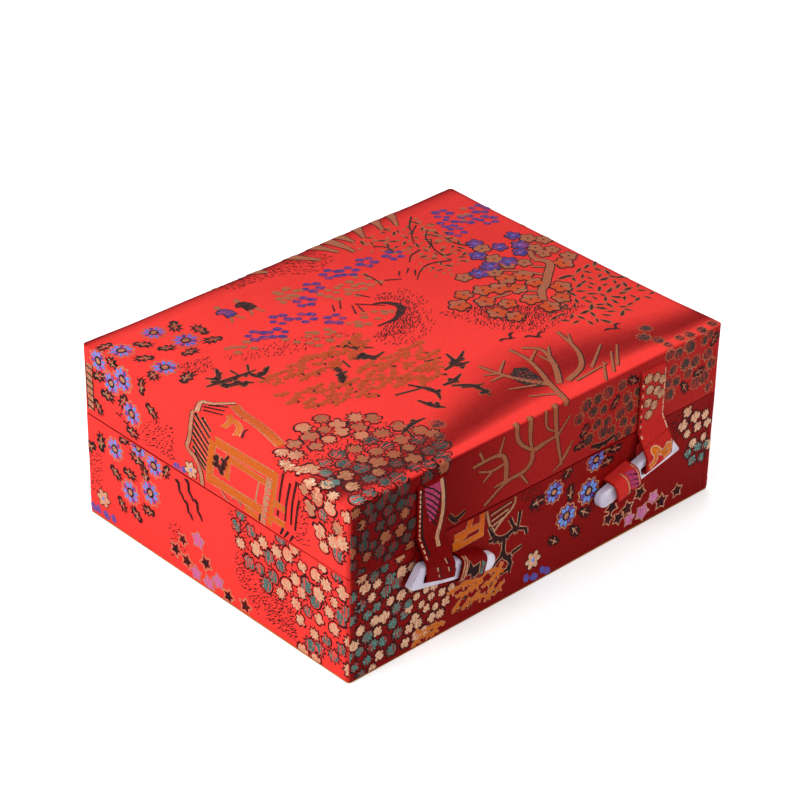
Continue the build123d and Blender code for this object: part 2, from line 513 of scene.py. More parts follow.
class Shade(Enum):
    """The pattern threads by colour: name, painted lit colour, painted shaded colour, strength of painted
    glints, cover by the ground, and colour of the painted glints.
    """

    BLACK = WeftThread("thread_black", linear(30, 4, 8), linear(22, 0, 2), 0.03, 0.12)
    TAN = WeftThread("thread_tan", linear(192, 136, 100), linear(146, 82, 48), 0.35, 0.45)
    BEIGE = WeftThread("thread_beige", linear(222, 170, 134), linear(184, 116, 80), 0.4, 0.4)
    TEAL = WeftThread("thread_teal", linear(74, 112, 102), linear(42, 48, 42), 0.35, 0.85,
        linear(150, 226, 214))
    BLUE = WeftThread("thread_blue", linear(96, 154, 236), linear(84, 78, 164), 0.3, 0.12,
        linear(190, 224, 255))
    VIOLET = WeftThread("thread_violet", linear(84, 84, 172), linear(56, 36, 106), 0.12, 0.4)
    ORANGE = WeftThread("thread_orange", linear(214, 106, 12), linear(182, 58, 0), 0.12, 0.12)
    PINK = WeftThread("thread_pink", linear(210, 116, 174), linear(168, 44, 92), 0.2, 0.4)
    MAGENTA = WeftThread("thread_magenta", linear(176, 52, 98), linear(146, 30, 66), 0.15, 0.3)
    OLIVE = WeftThread("thread_olive", linear(66, 60, 50), linear(54, 34, 28), 0.1)
    RED = SatinGround()


def run_lengths(line: Array | Sequence[Point]) -> Array:
    """The distance along a line at each of its points."""
    return np.concatenate([[0.0], np.cumsum(np.linalg.norm(np.diff(np.array(line), axis=0), axis=1))])


def turned(points: Array, angle: float) -> Array:
    """Flat points turned anticlockwise round their zero."""
    c, s = math.cos(angle), math.sin(angle)
    return np.asarray(points, float) @ np.array([[c, s], [-s, c]])


class Panel(Enum):
    """A face of the box on the uncut cloth: how far it is turned there, and where its own zero lies."""

    TOP = (0.0, 0.0, 0.0)
    FRONT = (0.0, 0.0, -141.0)
    LEFT = (-90.0, -161.0, 0.0)
    BACK = (180.0, 0.0, 141.0)
    RIGHT = (90.0, 161.0, 0.0)

    def lay(self, points: Array) -> Array:
        """Takes points of this face, right and up as seen from outside, to the uncut cloth."""
        turn, across, along = self.value
        return turned(points, math.radians(turn)) + (across, along)


@dataclass(frozen=True)
class Wrap:
    """How a flat cloth lies on the box, in millimetres.

    A point that is w past the top's edge is on a wall, w below the top. Each path is the cloth's way round
    a rim, as (inset, drop) pairs.
    """

    half: tuple[float, float]
    top: float
    has_top: bool
    rim_in: tuple[Point, ...]
    rim_out: tuple[Point, ...]
    corner: float = 1.2
    roll_start: float = 26.0
    roll_end: float = 0.9
    roll_pull: Point = (1.4, 0.1)
    ripple: float = 0.11
    fold_from_corner: float = 3.3
    fold_depth: float = 0.22
    fold_width: float = 0.4
    seam_level: float = 42.4
    strap_room: float = 0.16
    straps_from: float = 44.0

    def first(self) -> float:
        """The lowest w of the cloth's walls.

        Returns:
            In millimetres below the top.
        """
        if self.has_top:
            return 0.0
        return self.rim_in[-1][1] - run_lengths(self.rim_in)[-1]

    def last(self) -> float:
        """The highest w of the cloth's walls."""
        return self.rim_out[0][1] + run_lengths(self.rim_out)[-1]

    def rolled_edge(self) -> tuple[Array, Array]:
        """The path over the top's rolled edge, and how far along the cloth each of its points lies.

        Returns:
            Rows of inset and drop, and the distances.
        """
        t = np.linspace(0.0, 1.0, 241)
        inset = (1 - t) ** 3 * self.roll_start + 3 * (1 - t) ** 2 * t * self.roll_pull[0]
        fall = 3 * (1 - t) * t ** 2 * self.roll_pull[1] + t ** 3 * self.roll_end
        path = np.column_stack([inset, fall])
        gone = run_lengths(path)
        return path, gone / gone[-1] * (self.roll_start + self.roll_end) - self.roll_start

    def profile(self, past: Array) -> tuple[Array, Array, Array]:
        """The cloth's cut face across one edge.

        Args:
            past: distances past the top's edge.

        Returns:
            The inset of the rolled edge, the inset of a rim, and the drop below the top.
        """
        roll = np.maximum(-past, 0.0)
        ring = np.zeros_like(past)
        drop = np.maximum(past, 0.0)
        if self.has_top:
            path, along = self.rolled_edge()
            rolled = (past > -self.roll_start) & (past < self.roll_end)
            roll = np.where(rolled, np.interp(past, along, path[:, 0]), roll)
            drop = np.where(rolled, np.interp(past, along, path[:, 1]), drop)
        else:
            path = np.array(self.rim_in)
            start = path[-1][1]
            along = run_lengths(self.rim_in) - run_lengths(self.rim_in)[-1] + start
            before = (past > 0) & (past < start)
            ring = np.where(before, np.interp(past, along, path[:, 0]), ring)
            drop = np.where(before, np.interp(past, along, path[:, 1]), drop)
        path = np.array(self.rim_out)
        along = path[0][1] + run_lengths(self.rim_out)
        after = past > along[0]
        ring = np.where(after, np.interp(past, along, path[:, 0]), ring)
        drop = np.where(after, np.interp(past, along, path[:, 1]), drop)
        return roll, ring, drop

    def surface(self, flat: Array) -> Array:
        """Points of the box's outside for points of the flat cloth.

        Args:
            flat: rows of across and along on the uncut cloth.

        Returns:
            The points, in millimetres.
        """
        half = np.array(self.half)
        side = np.where(flat < 0, -1.0, 1.0)
        past = np.abs(flat) - half
        over = np.all(past > 0, axis=1)
        less = np.argmin(past, axis=1)
        past[over, less[over]] = 0.0
        roll, ring, drop = self.profile(past)
        straight = np.maximum(-past, 0.0)
        ease = smoothstep((past + self.roll_start) / self.roll_start)[:, ::-1]
        inset = roll + (straight - roll) * ease
        ringed = ring.max(axis=1, keepdims=True)
        inset = inset * (1 - ringed / half)
        radius = np.maximum(self.corner - ringed, 0.1)
        near = np.clip(radius - inset, 0.0, None)
        length = np.maximum(np.linalg.norm(near, axis=1, keepdims=True), 1e-9)
        inset = inset + near * (1 - near.max(axis=1, keepdims=True) / length)
        level = self.top - np.cbrt((drop ** 3).sum(axis=1))
        return np.column_stack([side * (half - ringed - inset), level])

    def normals(self, flat: Array) -> Array:
        """The outward direction at points of the flat cloth.

        Args:
            flat: rows of across and along on the uncut cloth.

        Returns:
            One direction for each point.
        """
        step, sliver = 0.02, 0.05
        here = self.surface(flat)
        across = self.surface(flat + (step, 0.0)) - here
        along = self.surface(flat + (0.0, step)) - here
        normal = np.cross(across, along)
        length = np.linalg.norm(normal, axis=1, keepdims=True)
        middle = np.array([*self.half, 0.0])[None, :] * [0.9, 0.9, 0.0] * np.sign(here)
        outward = (here - middle) * [1.0, 1.0, 0.0]
        outward /= np.maximum(np.linalg.norm(outward, axis=1, keepdims=True), 1e-9)
        return np.where(length > step * step * sliver, normal / np.maximum(length, 1e-12), outward)

    def waves(self, points: Array, normals: Array) -> Array:
        """How far the cloth stands out: slow ripples, less the laps by the corners and the straps' room.

        Args:
            points: places on the box, in millimetres.
            normals: the outward directions there.

        Returns:
            A distance for each point.
        """
        x, y, z = points.T
        slow = np.sin(x / 13.0 + 1.3) * np.sin(y / 17.0 + 0.4)
        slow = slow + np.sin(x / 29.0 + z / 9.0) * np.cos(y / 23.0 - z / 11.0)
        on_long_side = smoothstep((np.abs(normals[:, 1]) - 0.9) / 0.08)
        from_corner = self.half[0] - np.abs(x)
        lap = np.exp(-((from_corner - self.fold_from_corner) / self.fold_width) ** 2)
        base_front = on_long_side * (y < 0) * (not self.has_top)
        under_straps = self.strap_room * base_front * smoothstep((np.abs(x) - self.straps_from) / 4.0)
        return self.ripple * slow - self.fold_depth * lap * on_long_side - under_straps

    def wrap(self, flat: Array) -> tuple[Array, Array]:
        """Wraps points of the flat cloth, with their heights over it.

        Args:
            flat: rows of across, along and height, in millimetres.

        Returns:
            The points on the box in metres, and the outward directions.
        """
        spots = flat[:, :2].copy()
        normals = self.normals(spots)
        points = self.surface(spots)
        rise = flat[:, 2] + self.waves(points, normals)
        return (points + normals * rise[:, None]) * MM, normals


BOX_HALF = (90.0, 70.0)
# painted sheen and shade: a dark band behind the top's front roll and a bright ridge on it, and painted
# shade along the back and right top edges
ROLL_SHEEN_AND_SHADE = ((0, 4.5, 7, 11, 17, 24, 32), (1.05, 1.0, 0.56, 0.28, 0.38, 0.70, 0.96))
BACK_EDGE_SHADE = ((0, 1.2, 3, 7), (0.05, 0.35, 0.72, 1.0))
END_EDGE_SHADE = ((0, 1.0, 2.6), (0.3, 0.7, 1.0))


def painted_ground_light(points: Array, normals: Array, seam: float) -> Array:
    """The painted sheen and painted shade of the satin ground: lit on the top and ends, in painted bands
    where it rolls to the front.

    Args:
        points: places on the cloth, in metres.
        normals: the outward directions there.
        seam: the height at which the lid's walls begin, in millimetres.

    Returns:
        A number for each point, 0 dark and 1 bright.
    """
    x, y, z = points.T / MM
    half_x, half_y = BOX_HALF
    spread = 1 + 0.35 * np.sin(x / 23.0 + 0.8)
    top = np.interp((y + half_y) / spread, *ROLL_SHEEN_AND_SHADE)
    top *= np.interp(half_y - y, *BACK_EDGE_SHADE)
    top *= np.interp(half_x - x, *END_EDGE_SHADE)
    # painted light falling off across the top towards the back right, and painted shade near the top's
    # front left
    top *= 0.92 - 0.08 * smoothstep((x + half_x) / 60.0) - 0.18 * smoothstep((x + y + 20.0) / 120.0)
    top *= 1 - 0.2 * smoothstep((-48.0 - x) / 20.0) * smoothstep((-44.0 - y) / 16.0)
    # painted shade of the front walls: the lid's front darker towards its left, the base's front dark all
    # over
    lid_wall = 0.11 + 0.24 * smoothstep((x + 60.0) / 60.0) + 0.06 * smoothstep((x - 45.0) / 30.0)
    wall = np.where(z > seam, lid_wall, 0.22) * (y < 0)
    flat = smoothstep(normals[:, 2] / 0.45) * (z > 58.0)
    along = wall + (top - wall) * flat
    # painted shade on the end walls near the front corner
    beside = 0.4 + 0.6 * smoothstep((y + 70.5) / 4.0) + flat + normals[:, 1] ** 2
    return (1 + (along - 1) * (1 - normals[:, 0] ** 2)) * np.minimum(beside, 1.0)


def painted_thread_light(points: Array, normals: Array) -> Array:
    """The painted light of the pattern threads: painted shade on the top and the lid's front, lit on the
    ends.

    Args:
        points: places on the cloth, in metres.
        normals: the outward directions there.

    Returns:
        A number for each point, 0 shaded and 1 lit, with painted glints above 1.
    """
    x, y, z = points.T / MM
    nx, ny, nz = (normals ** 2).T
    # painted light on the threads: lit on the ends and the lower front, shaded on the top, with painted
    # glints along the top's left ridge
    beside = smoothstep((-55.0 - x) / 30.0) * 0.30
    ridge = smoothstep((-79.0 - x) / 8.0) * smoothstep((2.0 - y) / 14.0) * 0.9
    front = 0.16 + 0.9 * smoothstep((46.0 - z) / 18.0) + 0.2 * smoothstep((x - 20.0) / 50.0)
    return (0.12 + beside + ridge) * nz + 0.66 * nx + front * ny + 4 * nz * (1 - nz) * 0.5


def placed(name: str, data: bpy.types.ID) -> bpy.types.Object:
    """A new object in the scene.

    Args:
        name: the object's name.
        data: its mesh, light or camera.

    Returns:
        The object.
    """
    made = bpy.data.objects.new(name, data)
    bpy.context.scene.collection.objects.link(made)
    return made


def grid_faces(lines: int, count: int, closed: bool = False) -> list[list[int]]:
    """Faces between neighbouring lines of points.

    Args:
        lines: how many lines there are.
        count: the points on each.
        closed: whether each line goes round to its own start.

    Returns:
        The vertex numbers of each face.
    """
    found = []
    for line in range(lines - 1):
        for here in range(count if closed else count - 1):
            there = (here + 1) % count
            below, above = line * count, (line + 1) * count
            found.append([below + here, below + there, above + there, above + here])
    return found


def mesh_object(name: str, points: Array, faces: Sequence[Sequence[int]],
        material: bpy.types.Material | None, smooth: bool = True) -> bpy.types.Object:
    """A new object from points in metres.

    Args:
        name: the piece's name.
        points: one row for each vertex.
        faces: vertex numbers of each face, anticlockwise from outside.
        material: its finish, if it has one yet.
        smooth: whether its faces are shaded smooth.

    Returns:
        The object, linked to the scene.
    """
    mesh = bpy.data.meshes.new(name)
    mesh.from_pydata(np.asarray(points).tolist(), [], [list(face) for face in faces])
    mesh.update()
    if smooth:
        mesh.shade_smooth()
    if material is not None:
        mesh.materials.append(material)
    return placed(name, mesh)


def numbers(made: bpy.types.Object, name: str, values: Array) -> None:
    """Keeps one number for each vertex on the mesh."""
    layer = made.data.attributes.get(name) or made.data.attributes.new(name, "FLOAT", "POINT")
    layer.data.foreach_set("value", np.asarray(values, np.float32))


def places(mesh: bpy.types.Mesh) -> Array:
    """Where a mesh's vertices are, one row for each.

    Args:
        mesh: the mesh.

    Returns:
        Rows of x, y and z.
    """
    flat = np.zeros(len(mesh.vertices) * 3, np.float32)
    mesh.vertices.foreach_get("co", flat)
    return flat.reshape(-1, 3).astype(float)


def move_to(mesh: bpy.types.Mesh, points: Array) -> None:
    """Moves a mesh's vertices."""
    mesh.vertices.foreach_set("co", points.astype(np.float32).ravel())
    mesh.update()


def slice_mesh(work: bmesh.types.BMesh, at: Sequence[float], facing: Sequence[float], near: float) -> None:
    """Cuts faces along a plane, and keeps both sides."""
    geometry = [*work.verts, *work.edges, *work.faces]
    bmesh.ops.bisect_plane(work, geom=geometry, dist=near, plane_co=at, plane_no=facing)


def evaluated_mesh(made: bpy.types.Object) -> bpy.types.Mesh:
    """A plain mesh of an object with its modifiers applied."""
    bpy.context.view_layer.update()
    return bpy.data.meshes.new_from_object(made.evaluated_get(bpy.context.evaluated_depsgraph_get()))


def settle(made: bpy.types.Object) -> bpy.types.Object:
    """Applies an object's modifiers to its mesh.

    Args:
        made: the object.

    Returns:
        The same object.
    """
    final = evaluated_mesh(made)
    made.modifiers.clear()
    old = made.data
    made.data = final
    bpy.data.meshes.remove(old)
    return made


def tidy_mesh(made: bpy.types.Object, merge: float = 1e-6) -> None:
    """Merges doubled vertices and drops faces without an area.

    Args:
        made: the object.
        merge: how close vertices are merged, in metres.
    """
    work = bmesh.new()
    work.from_mesh(made.data)
    bmesh.ops.remove_doubles(work, verts=work.verts, dist=merge)
    bmesh.ops.dissolve_degenerate(work, edges=work.edges, dist=merge)
    work.to_mesh(made.data)
    work.free()
    made.data.shade_smooth()


def thicken(made: bpy.types.Object, thickness: float, offset: float = -1.0) -> bpy.types.Object:
    """Gives a sheet its thickness, in millimetres.

    Args:
        made: the object.
        thickness: in millimetres.
        offset: -1 to grow inwards and 0 for both ways.

    Returns:
        The same object.
    """
    shell = made.modifiers.new("thickness", "SOLIDIFY")
    shell.thickness = thickness * MM
    shell.offset = offset
    shell.use_even_offset = False
    return settle(made)


@dataclass
class Studio:
    """The pale floor, the lights and the camera at the photograph's angle."""

    target: tuple[float, float, float] = (0.0, 0.0, 0.0355)
    back: tuple[float, float, float] = (-0.588, -0.612, 0.529)
    distance: float = 1.0301
    focal: float = 128.27
    film: float = 36.0
    roll: float = 0.0214
    shift: Point = (-0.0044, 0.0215)
    reach: float = 3.0

    def build(self) -> None:
        """Sets up everything that isn't the box."""
        self.camera()
        self.lights()
        self.floor()
        bpy.context.scene.view_settings.view_transform = "Standard"

    def camera(self) -> None:
        """The camera, aimed by its own axes."""
        data = bpy.data.cameras.new("camera")
        data.lens = self.focal
        data.sensor_width = self.film
        data.shift_x, data.shift_y = self.shift
        data.clip_start, data.clip_end = 0.05, 20.0
        made = placed("camera", data)
        back = Vector(self.back).normalized()
        right = Vector((0, 0, 1)).cross(back).normalized()
        up = back.cross(right)
        c, s = math.cos(self.roll), math.sin(self.roll)
        across, upward = c * right + s * up, c * up - s * right
        turn = Matrix((across, upward, back)).transposed()
        made.matrix_world = Matrix.Translation(Vector(self.target) + back * self.distance) @ turn.to_4x4()
        bpy.context.scene.camera = made

    def lamp(self, name: str, place: Sequence[float], size: Point, power: float,
            tint: Colour = (1, 1, 1)) -> None:
        """One soft box that faces the object.

        Args:
            name: the light's name.
            place: where it stands.
            size: its sides.
            power: in watts.
            tint: its colour.
        """
        data = bpy.data.lights.new(name, "AREA")
        data.shape = "RECTANGLE"
        data.size, data.size_y = size
        data.energy = power
        data.color = tint
        made = placed(name, data)
        made.location = place
        aim = Vector(self.target) - Vector(place)
        made.rotation_euler = aim.to_track_quat("-Z", "Y").to_euler()

    def lights(self) -> None:
        """A broad light from the upper left, a sheen light behind, and a weak one in front."""
        self.lamp("key_softbox", (-1.5, 0.2, 1.5), (1.2, 1.2), 30.0)
        self.lamp("back_softbox", (0.9, 1.2, 1.1), (1.4, 0.8), 10.0)
        self.lamp("front_softbox", (0.9, -1.5, 0.9), (0.9, 0.5), 7.0)
        world = bpy.data.worlds.new("studio_air")
        bpy.context.scene.world = world
        world.use_nodes = True
        nodes, links = world.node_tree.nodes, world.node_tree.links
        nodes.clear()
        path, seen = nodes.new("ShaderNodeLightPath"), nodes.new("ShaderNodeMath")
        seen.operation = "MAXIMUM"
        air, white = nodes.new("ShaderNodeBackground"), nodes.new("ShaderNodeBackground")
        for shader, colour, strength in ((air, (0.97, 0.98, 1.0, 1.0), 0.55),
                (white, (1.0, 1.0, 1.0, 1.0), 1.0)):
            shader.inputs["Color"].default_value = colour
            shader.inputs["Strength"].default_value = strength
        blend, end = nodes.new("ShaderNodeMixShader"), nodes.new("ShaderNodeOutputWorld")
        for source, out, target, into in ((path, "Is Camera Ray", seen, 0),
                (path, "Is Transmission Ray", seen, 1), (seen, 0, blend, 0), (air, 0, blend, 1),
                (white, 0, blend, 2), (blend, 0, end, 0)):
            links.new(source.outputs[out], target.inputs[into])

    def floor(self) -> None:
        """A wide white sheet that keeps a soft shadow."""
        graph = Graph("floor_white")
        path = graph.node("ShaderNodeLightPath")
        matt = graph.node("ShaderNodeBsdfDiffuse", inputs={"Color": (0.86, 0.86, 0.86)})
        lift = graph.node("ShaderNodeEmission", inputs={"Color": (1.0, 1.0, 1.0), "Strength": path * 0.42})
        both = graph.node("ShaderNodeAddShader", inputs={0: matt, 1: lift})
        graph.node("ShaderNodeOutputMaterial", inputs={"Surface": both})
        reach = self.reach
        corners = [(-reach, -reach, 0), (reach, -reach, 0), (reach, reach, 0), (-reach, reach, 0)]
        mesh_object("floor", np.array(corners) - (0, 0, 0.0001), [(0, 1, 2, 3)],
                             graph.material, False)


def spokes(count: int, tip: float, notch: float, phase: float = 0.0) -> Array:
    """A closed outline that swings between a tip and a notch radius.

    Args:
        count: how many tips.
        tip: the outer radius.
        notch: the inner radius.
        phase: how far it is turned, in radians.

    Returns:
        Its points.
    """
    angles = np.arange(2 * count) * math.pi / count + phase
    radii = np.where(np.arange(2 * count) % 2 == 0, tip, notch)
    return np.column_stack([radii * np.cos(angles), radii * np.sin(angles)])


def lobes(count: int, radius: float, depth: float, points: int, phase: float = 0.0,
        squeeze: float = 1.0) -> Array:
    """A closed outline with round lobes.

    Args:
        count: how many lobes.
        radius: the outer radius.
        depth: how deep the notches are, as a share.
        points: how many points.
        phase: how far it is turned, in radians.
        squeeze: its height as a share of its width.

    Returns:
        Its points.
    """
    angles = np.arange(points) * 2 * math.pi / points
    radii = radius * (1 - depth + depth * np.abs(np.cos(count * angles / 2 + phase)))
    return np.column_stack([radii * np.cos(angles), squeeze * radii * np.sin(angles)])


def grown(outline: Array, by: float) -> Array:
    """The outline moved out from its middle by a distance.

    Args:
        outline: a closed outline.
        by: the distance.

    Returns:
        Its points.
    """
    outline = np.asarray(outline, float)
    length = np.maximum(np.linalg.norm(outline, axis=1, keepdims=True), 1e-6)
    return outline * (1 + by / length)


TEAR = np.array([(-1.1, 0.0), (-0.45, 0.36), (0.25, 0.45), (1.05, 0.0), (0.3, -0.42), (-0.4, -0.36)])
OVAL = np.array([(-1.0, 0.06), (-0.62, 0.58), (0.06, 0.74), (0.70, 0.56), (1.04, 0.12), (0.62, -0.42),
    (0.76, -0.62), (-0.06, -0.60), (-0.66, -0.52)])
FAN = np.array([(0.0, -1.0), (0.28, -0.66), (0.66, -0.84), (0.72, -0.44), (1.0, -0.20), (0.76, 0.06),
    (0.94, 0.50), (0.56, 0.52), (0.40, 0.94), (0.08, 0.68), (-0.28, 1.0), (-0.46, 0.62), (-0.86, 0.66),
    (-0.74, 0.20), (-1.0, -0.14), (-0.72, -0.34), (-0.70, -0.78), (-0.28, -0.64)])
SHELL = np.array([
    (-0.40, -0.96), (-0.12, -0.62), (0.14, -1.0), (0.40, -0.60), (0.80, -0.70), (0.82, -0.22), (1.0, 0.18),
    (0.80, 0.60), (0.36, 0.90), (-0.18, 0.96), (-0.66, 0.74), (-0.96, 0.30), (-0.76, -0.04), (-0.94, -0.46),
    (-0.56, -0.50),
])
CURL = np.array([(-0.92, -0.36), (-0.52, -0.86), (-0.02, -0.72), (0.34, -0.98), (0.78, -0.72),
    (0.66, -0.26), (0.98, 0.10), (0.84, 0.62), (0.40, 0.96), (0.14, 0.66), (-0.20, 0.94), (-0.66, 0.82),
    (-0.66, 0.40), (-1.0, 0.16)])
FINGERS = np.array([
    (-1.0, -0.10), (-0.74, 0.36), (-0.32, 0.22), (-0.10, 0.64), (0.28, 0.38), (0.52, 0.74), (0.62, 0.32),
    (1.10, 0.38), (0.70, 0.04), (1.16, -0.18), (0.60, -0.22), (0.82, -0.60), (0.26, -0.42), (-0.08, -0.68),
    (-0.40, -0.40), (-0.80, -0.52),
])
COMMA = np.array([
    (-0.95, 0.62), (-0.62, 0.98), (-0.22, 0.86), (0.02, 0.34), (0.16, -0.10), (0.66, -0.34), (0.98, -0.86),
    (0.74, -0.92), (0.48, -0.66), (-0.02, -0.46), (-0.26, 0.02), (-0.42, 0.42), (-0.66, 0.44),
])
BIRD = np.array([(-1.0, 0.30), (-0.72, 0.52), (-0.38, 0.42), (-0.10, 0.10), (0.10, 0.12), (0.32, 0.44),
    (0.72, 0.50), (1.0, 0.22), (0.66, 0.26), (0.36, 0.14), (0.20, -0.10), (0.26, -0.40), (0.04, -0.22),
    (-0.14, -0.16), (-0.44, 0.16), (-0.74, 0.26)])


def petals(count: int, inner: float, middle: float, tip: float, width: float, phase: float = 0.0,
           chosen: Callable[[int], bool] = lambda number: True) -> tuple[Array, ...]:
    """Separate kites round a middle.

    Args:
        count: how many there is room for.
        inner: where each starts.
        middle: where each is widest.
        tip: where each ends.
        width: half its width.
        phase: the angle of the first.
        chosen: which of them are made.

    Returns:
        Their outlines.
    """
    found = []
    for number in range(count):
        if chosen(number):
            angle = phase + number * 2 * math.pi / count
            out = np.array([math.cos(angle), math.sin(angle)])
            side = np.array([-math.sin(angle), math.cos(angle)])
            found.append(np.array([out * inner - side * width * 0.45, out * middle - side * width,
                out * tip, out * middle * 1.04 + side * width, out * inner + side * width * 0.45]))
    return tuple(found)


def smooth_line(points: Sequence[Point], rounds: int = 2) -> Array:
    """A bent line with its corners cut, with the same ends.

    Args:
        points: its bends.
        rounds: how often the corners are cut.

    Returns:
        The smoother line.
    """
    line = np.asarray(points, float)
    for _ in range(rounds):
        near, far = line[:-1] * 0.75 + line[1:] * 0.25, line[:-1] * 0.25 + line[1:] * 0.75
        cut = np.empty((2 * len(near), 2))
        cut[0::2], cut[1::2] = near, far
        line = np.vstack([line[:1], cut[1:-1], line[-1:]])
    return line


def ribbon(line: Array, start: float, end: float, belly: float = 0.0) -> Array:
    """A closed outline along a line, with its width from one end to the other.

    Args:
        line: the middle line.
        start: the width where it starts.
        end: the width where it ends.
        belly: how much wider it is half way.

    Returns:
        Its points.
    """
    along = np.gradient(line, axis=0)
    along /= np.maximum(np.linalg.norm(along, axis=1, keepdims=True), 1e-9)
    side = np.column_stack([-along[:, 1], along[:, 0]])
    share = np.linspace(0.0, 1.0, len(line))
    half = (start + (end - start) * share + belly * np.sin(math.pi * share))[:, None] / 2
    return np.vstack([line - side * half, (line + side * half)[::-1]])


@dataclass(frozen=True, eq=False)
class Layer:
    """One thread's share of a motif: its outlines, one across in size, and how far it rises."""

    shade: Shade
    outline: Array | tuple[Array, ...]
    rise: float

    def plates(self) -> tuple[Array, list[list[int]]]:
        """The layer's plates as one mesh.

        Returns:
            The points, and the faces by vertex number.
        """
        outlines = self.outline if isinstance(self.outline, tuple) else (self.outline,)
        points, faces, count = [], [], 0
        for outline in outlines:
            more, sides = plate(outline, self.rise)
            points.append(more)
            faces += [[corner + count for corner in side] for side in sides]
            count += len(more)
        return np.vstack(points), faces


def leaf(shade: Shade, outline: Array = FAN) -> tuple[Layer, ...]:
    """A ragged fan-shaped leaf in a dark line that stands a little off it.

    Args:
        shade: the thread.
        outline: its shape.

    Returns:
        Its layers, from the lowest up.
    """
    outline = outline * np.linalg.norm(outline, axis=1, keepdims=True) ** 0.35
    return (Layer(Shade.BLACK, outline * 1.04, 0.06), Layer(Shade.RED, outline * 0.82 + (0.03, 0.04), 0.09),
            Layer(shade, outline * 0.75 + (0.02, 0.02), 0.13))


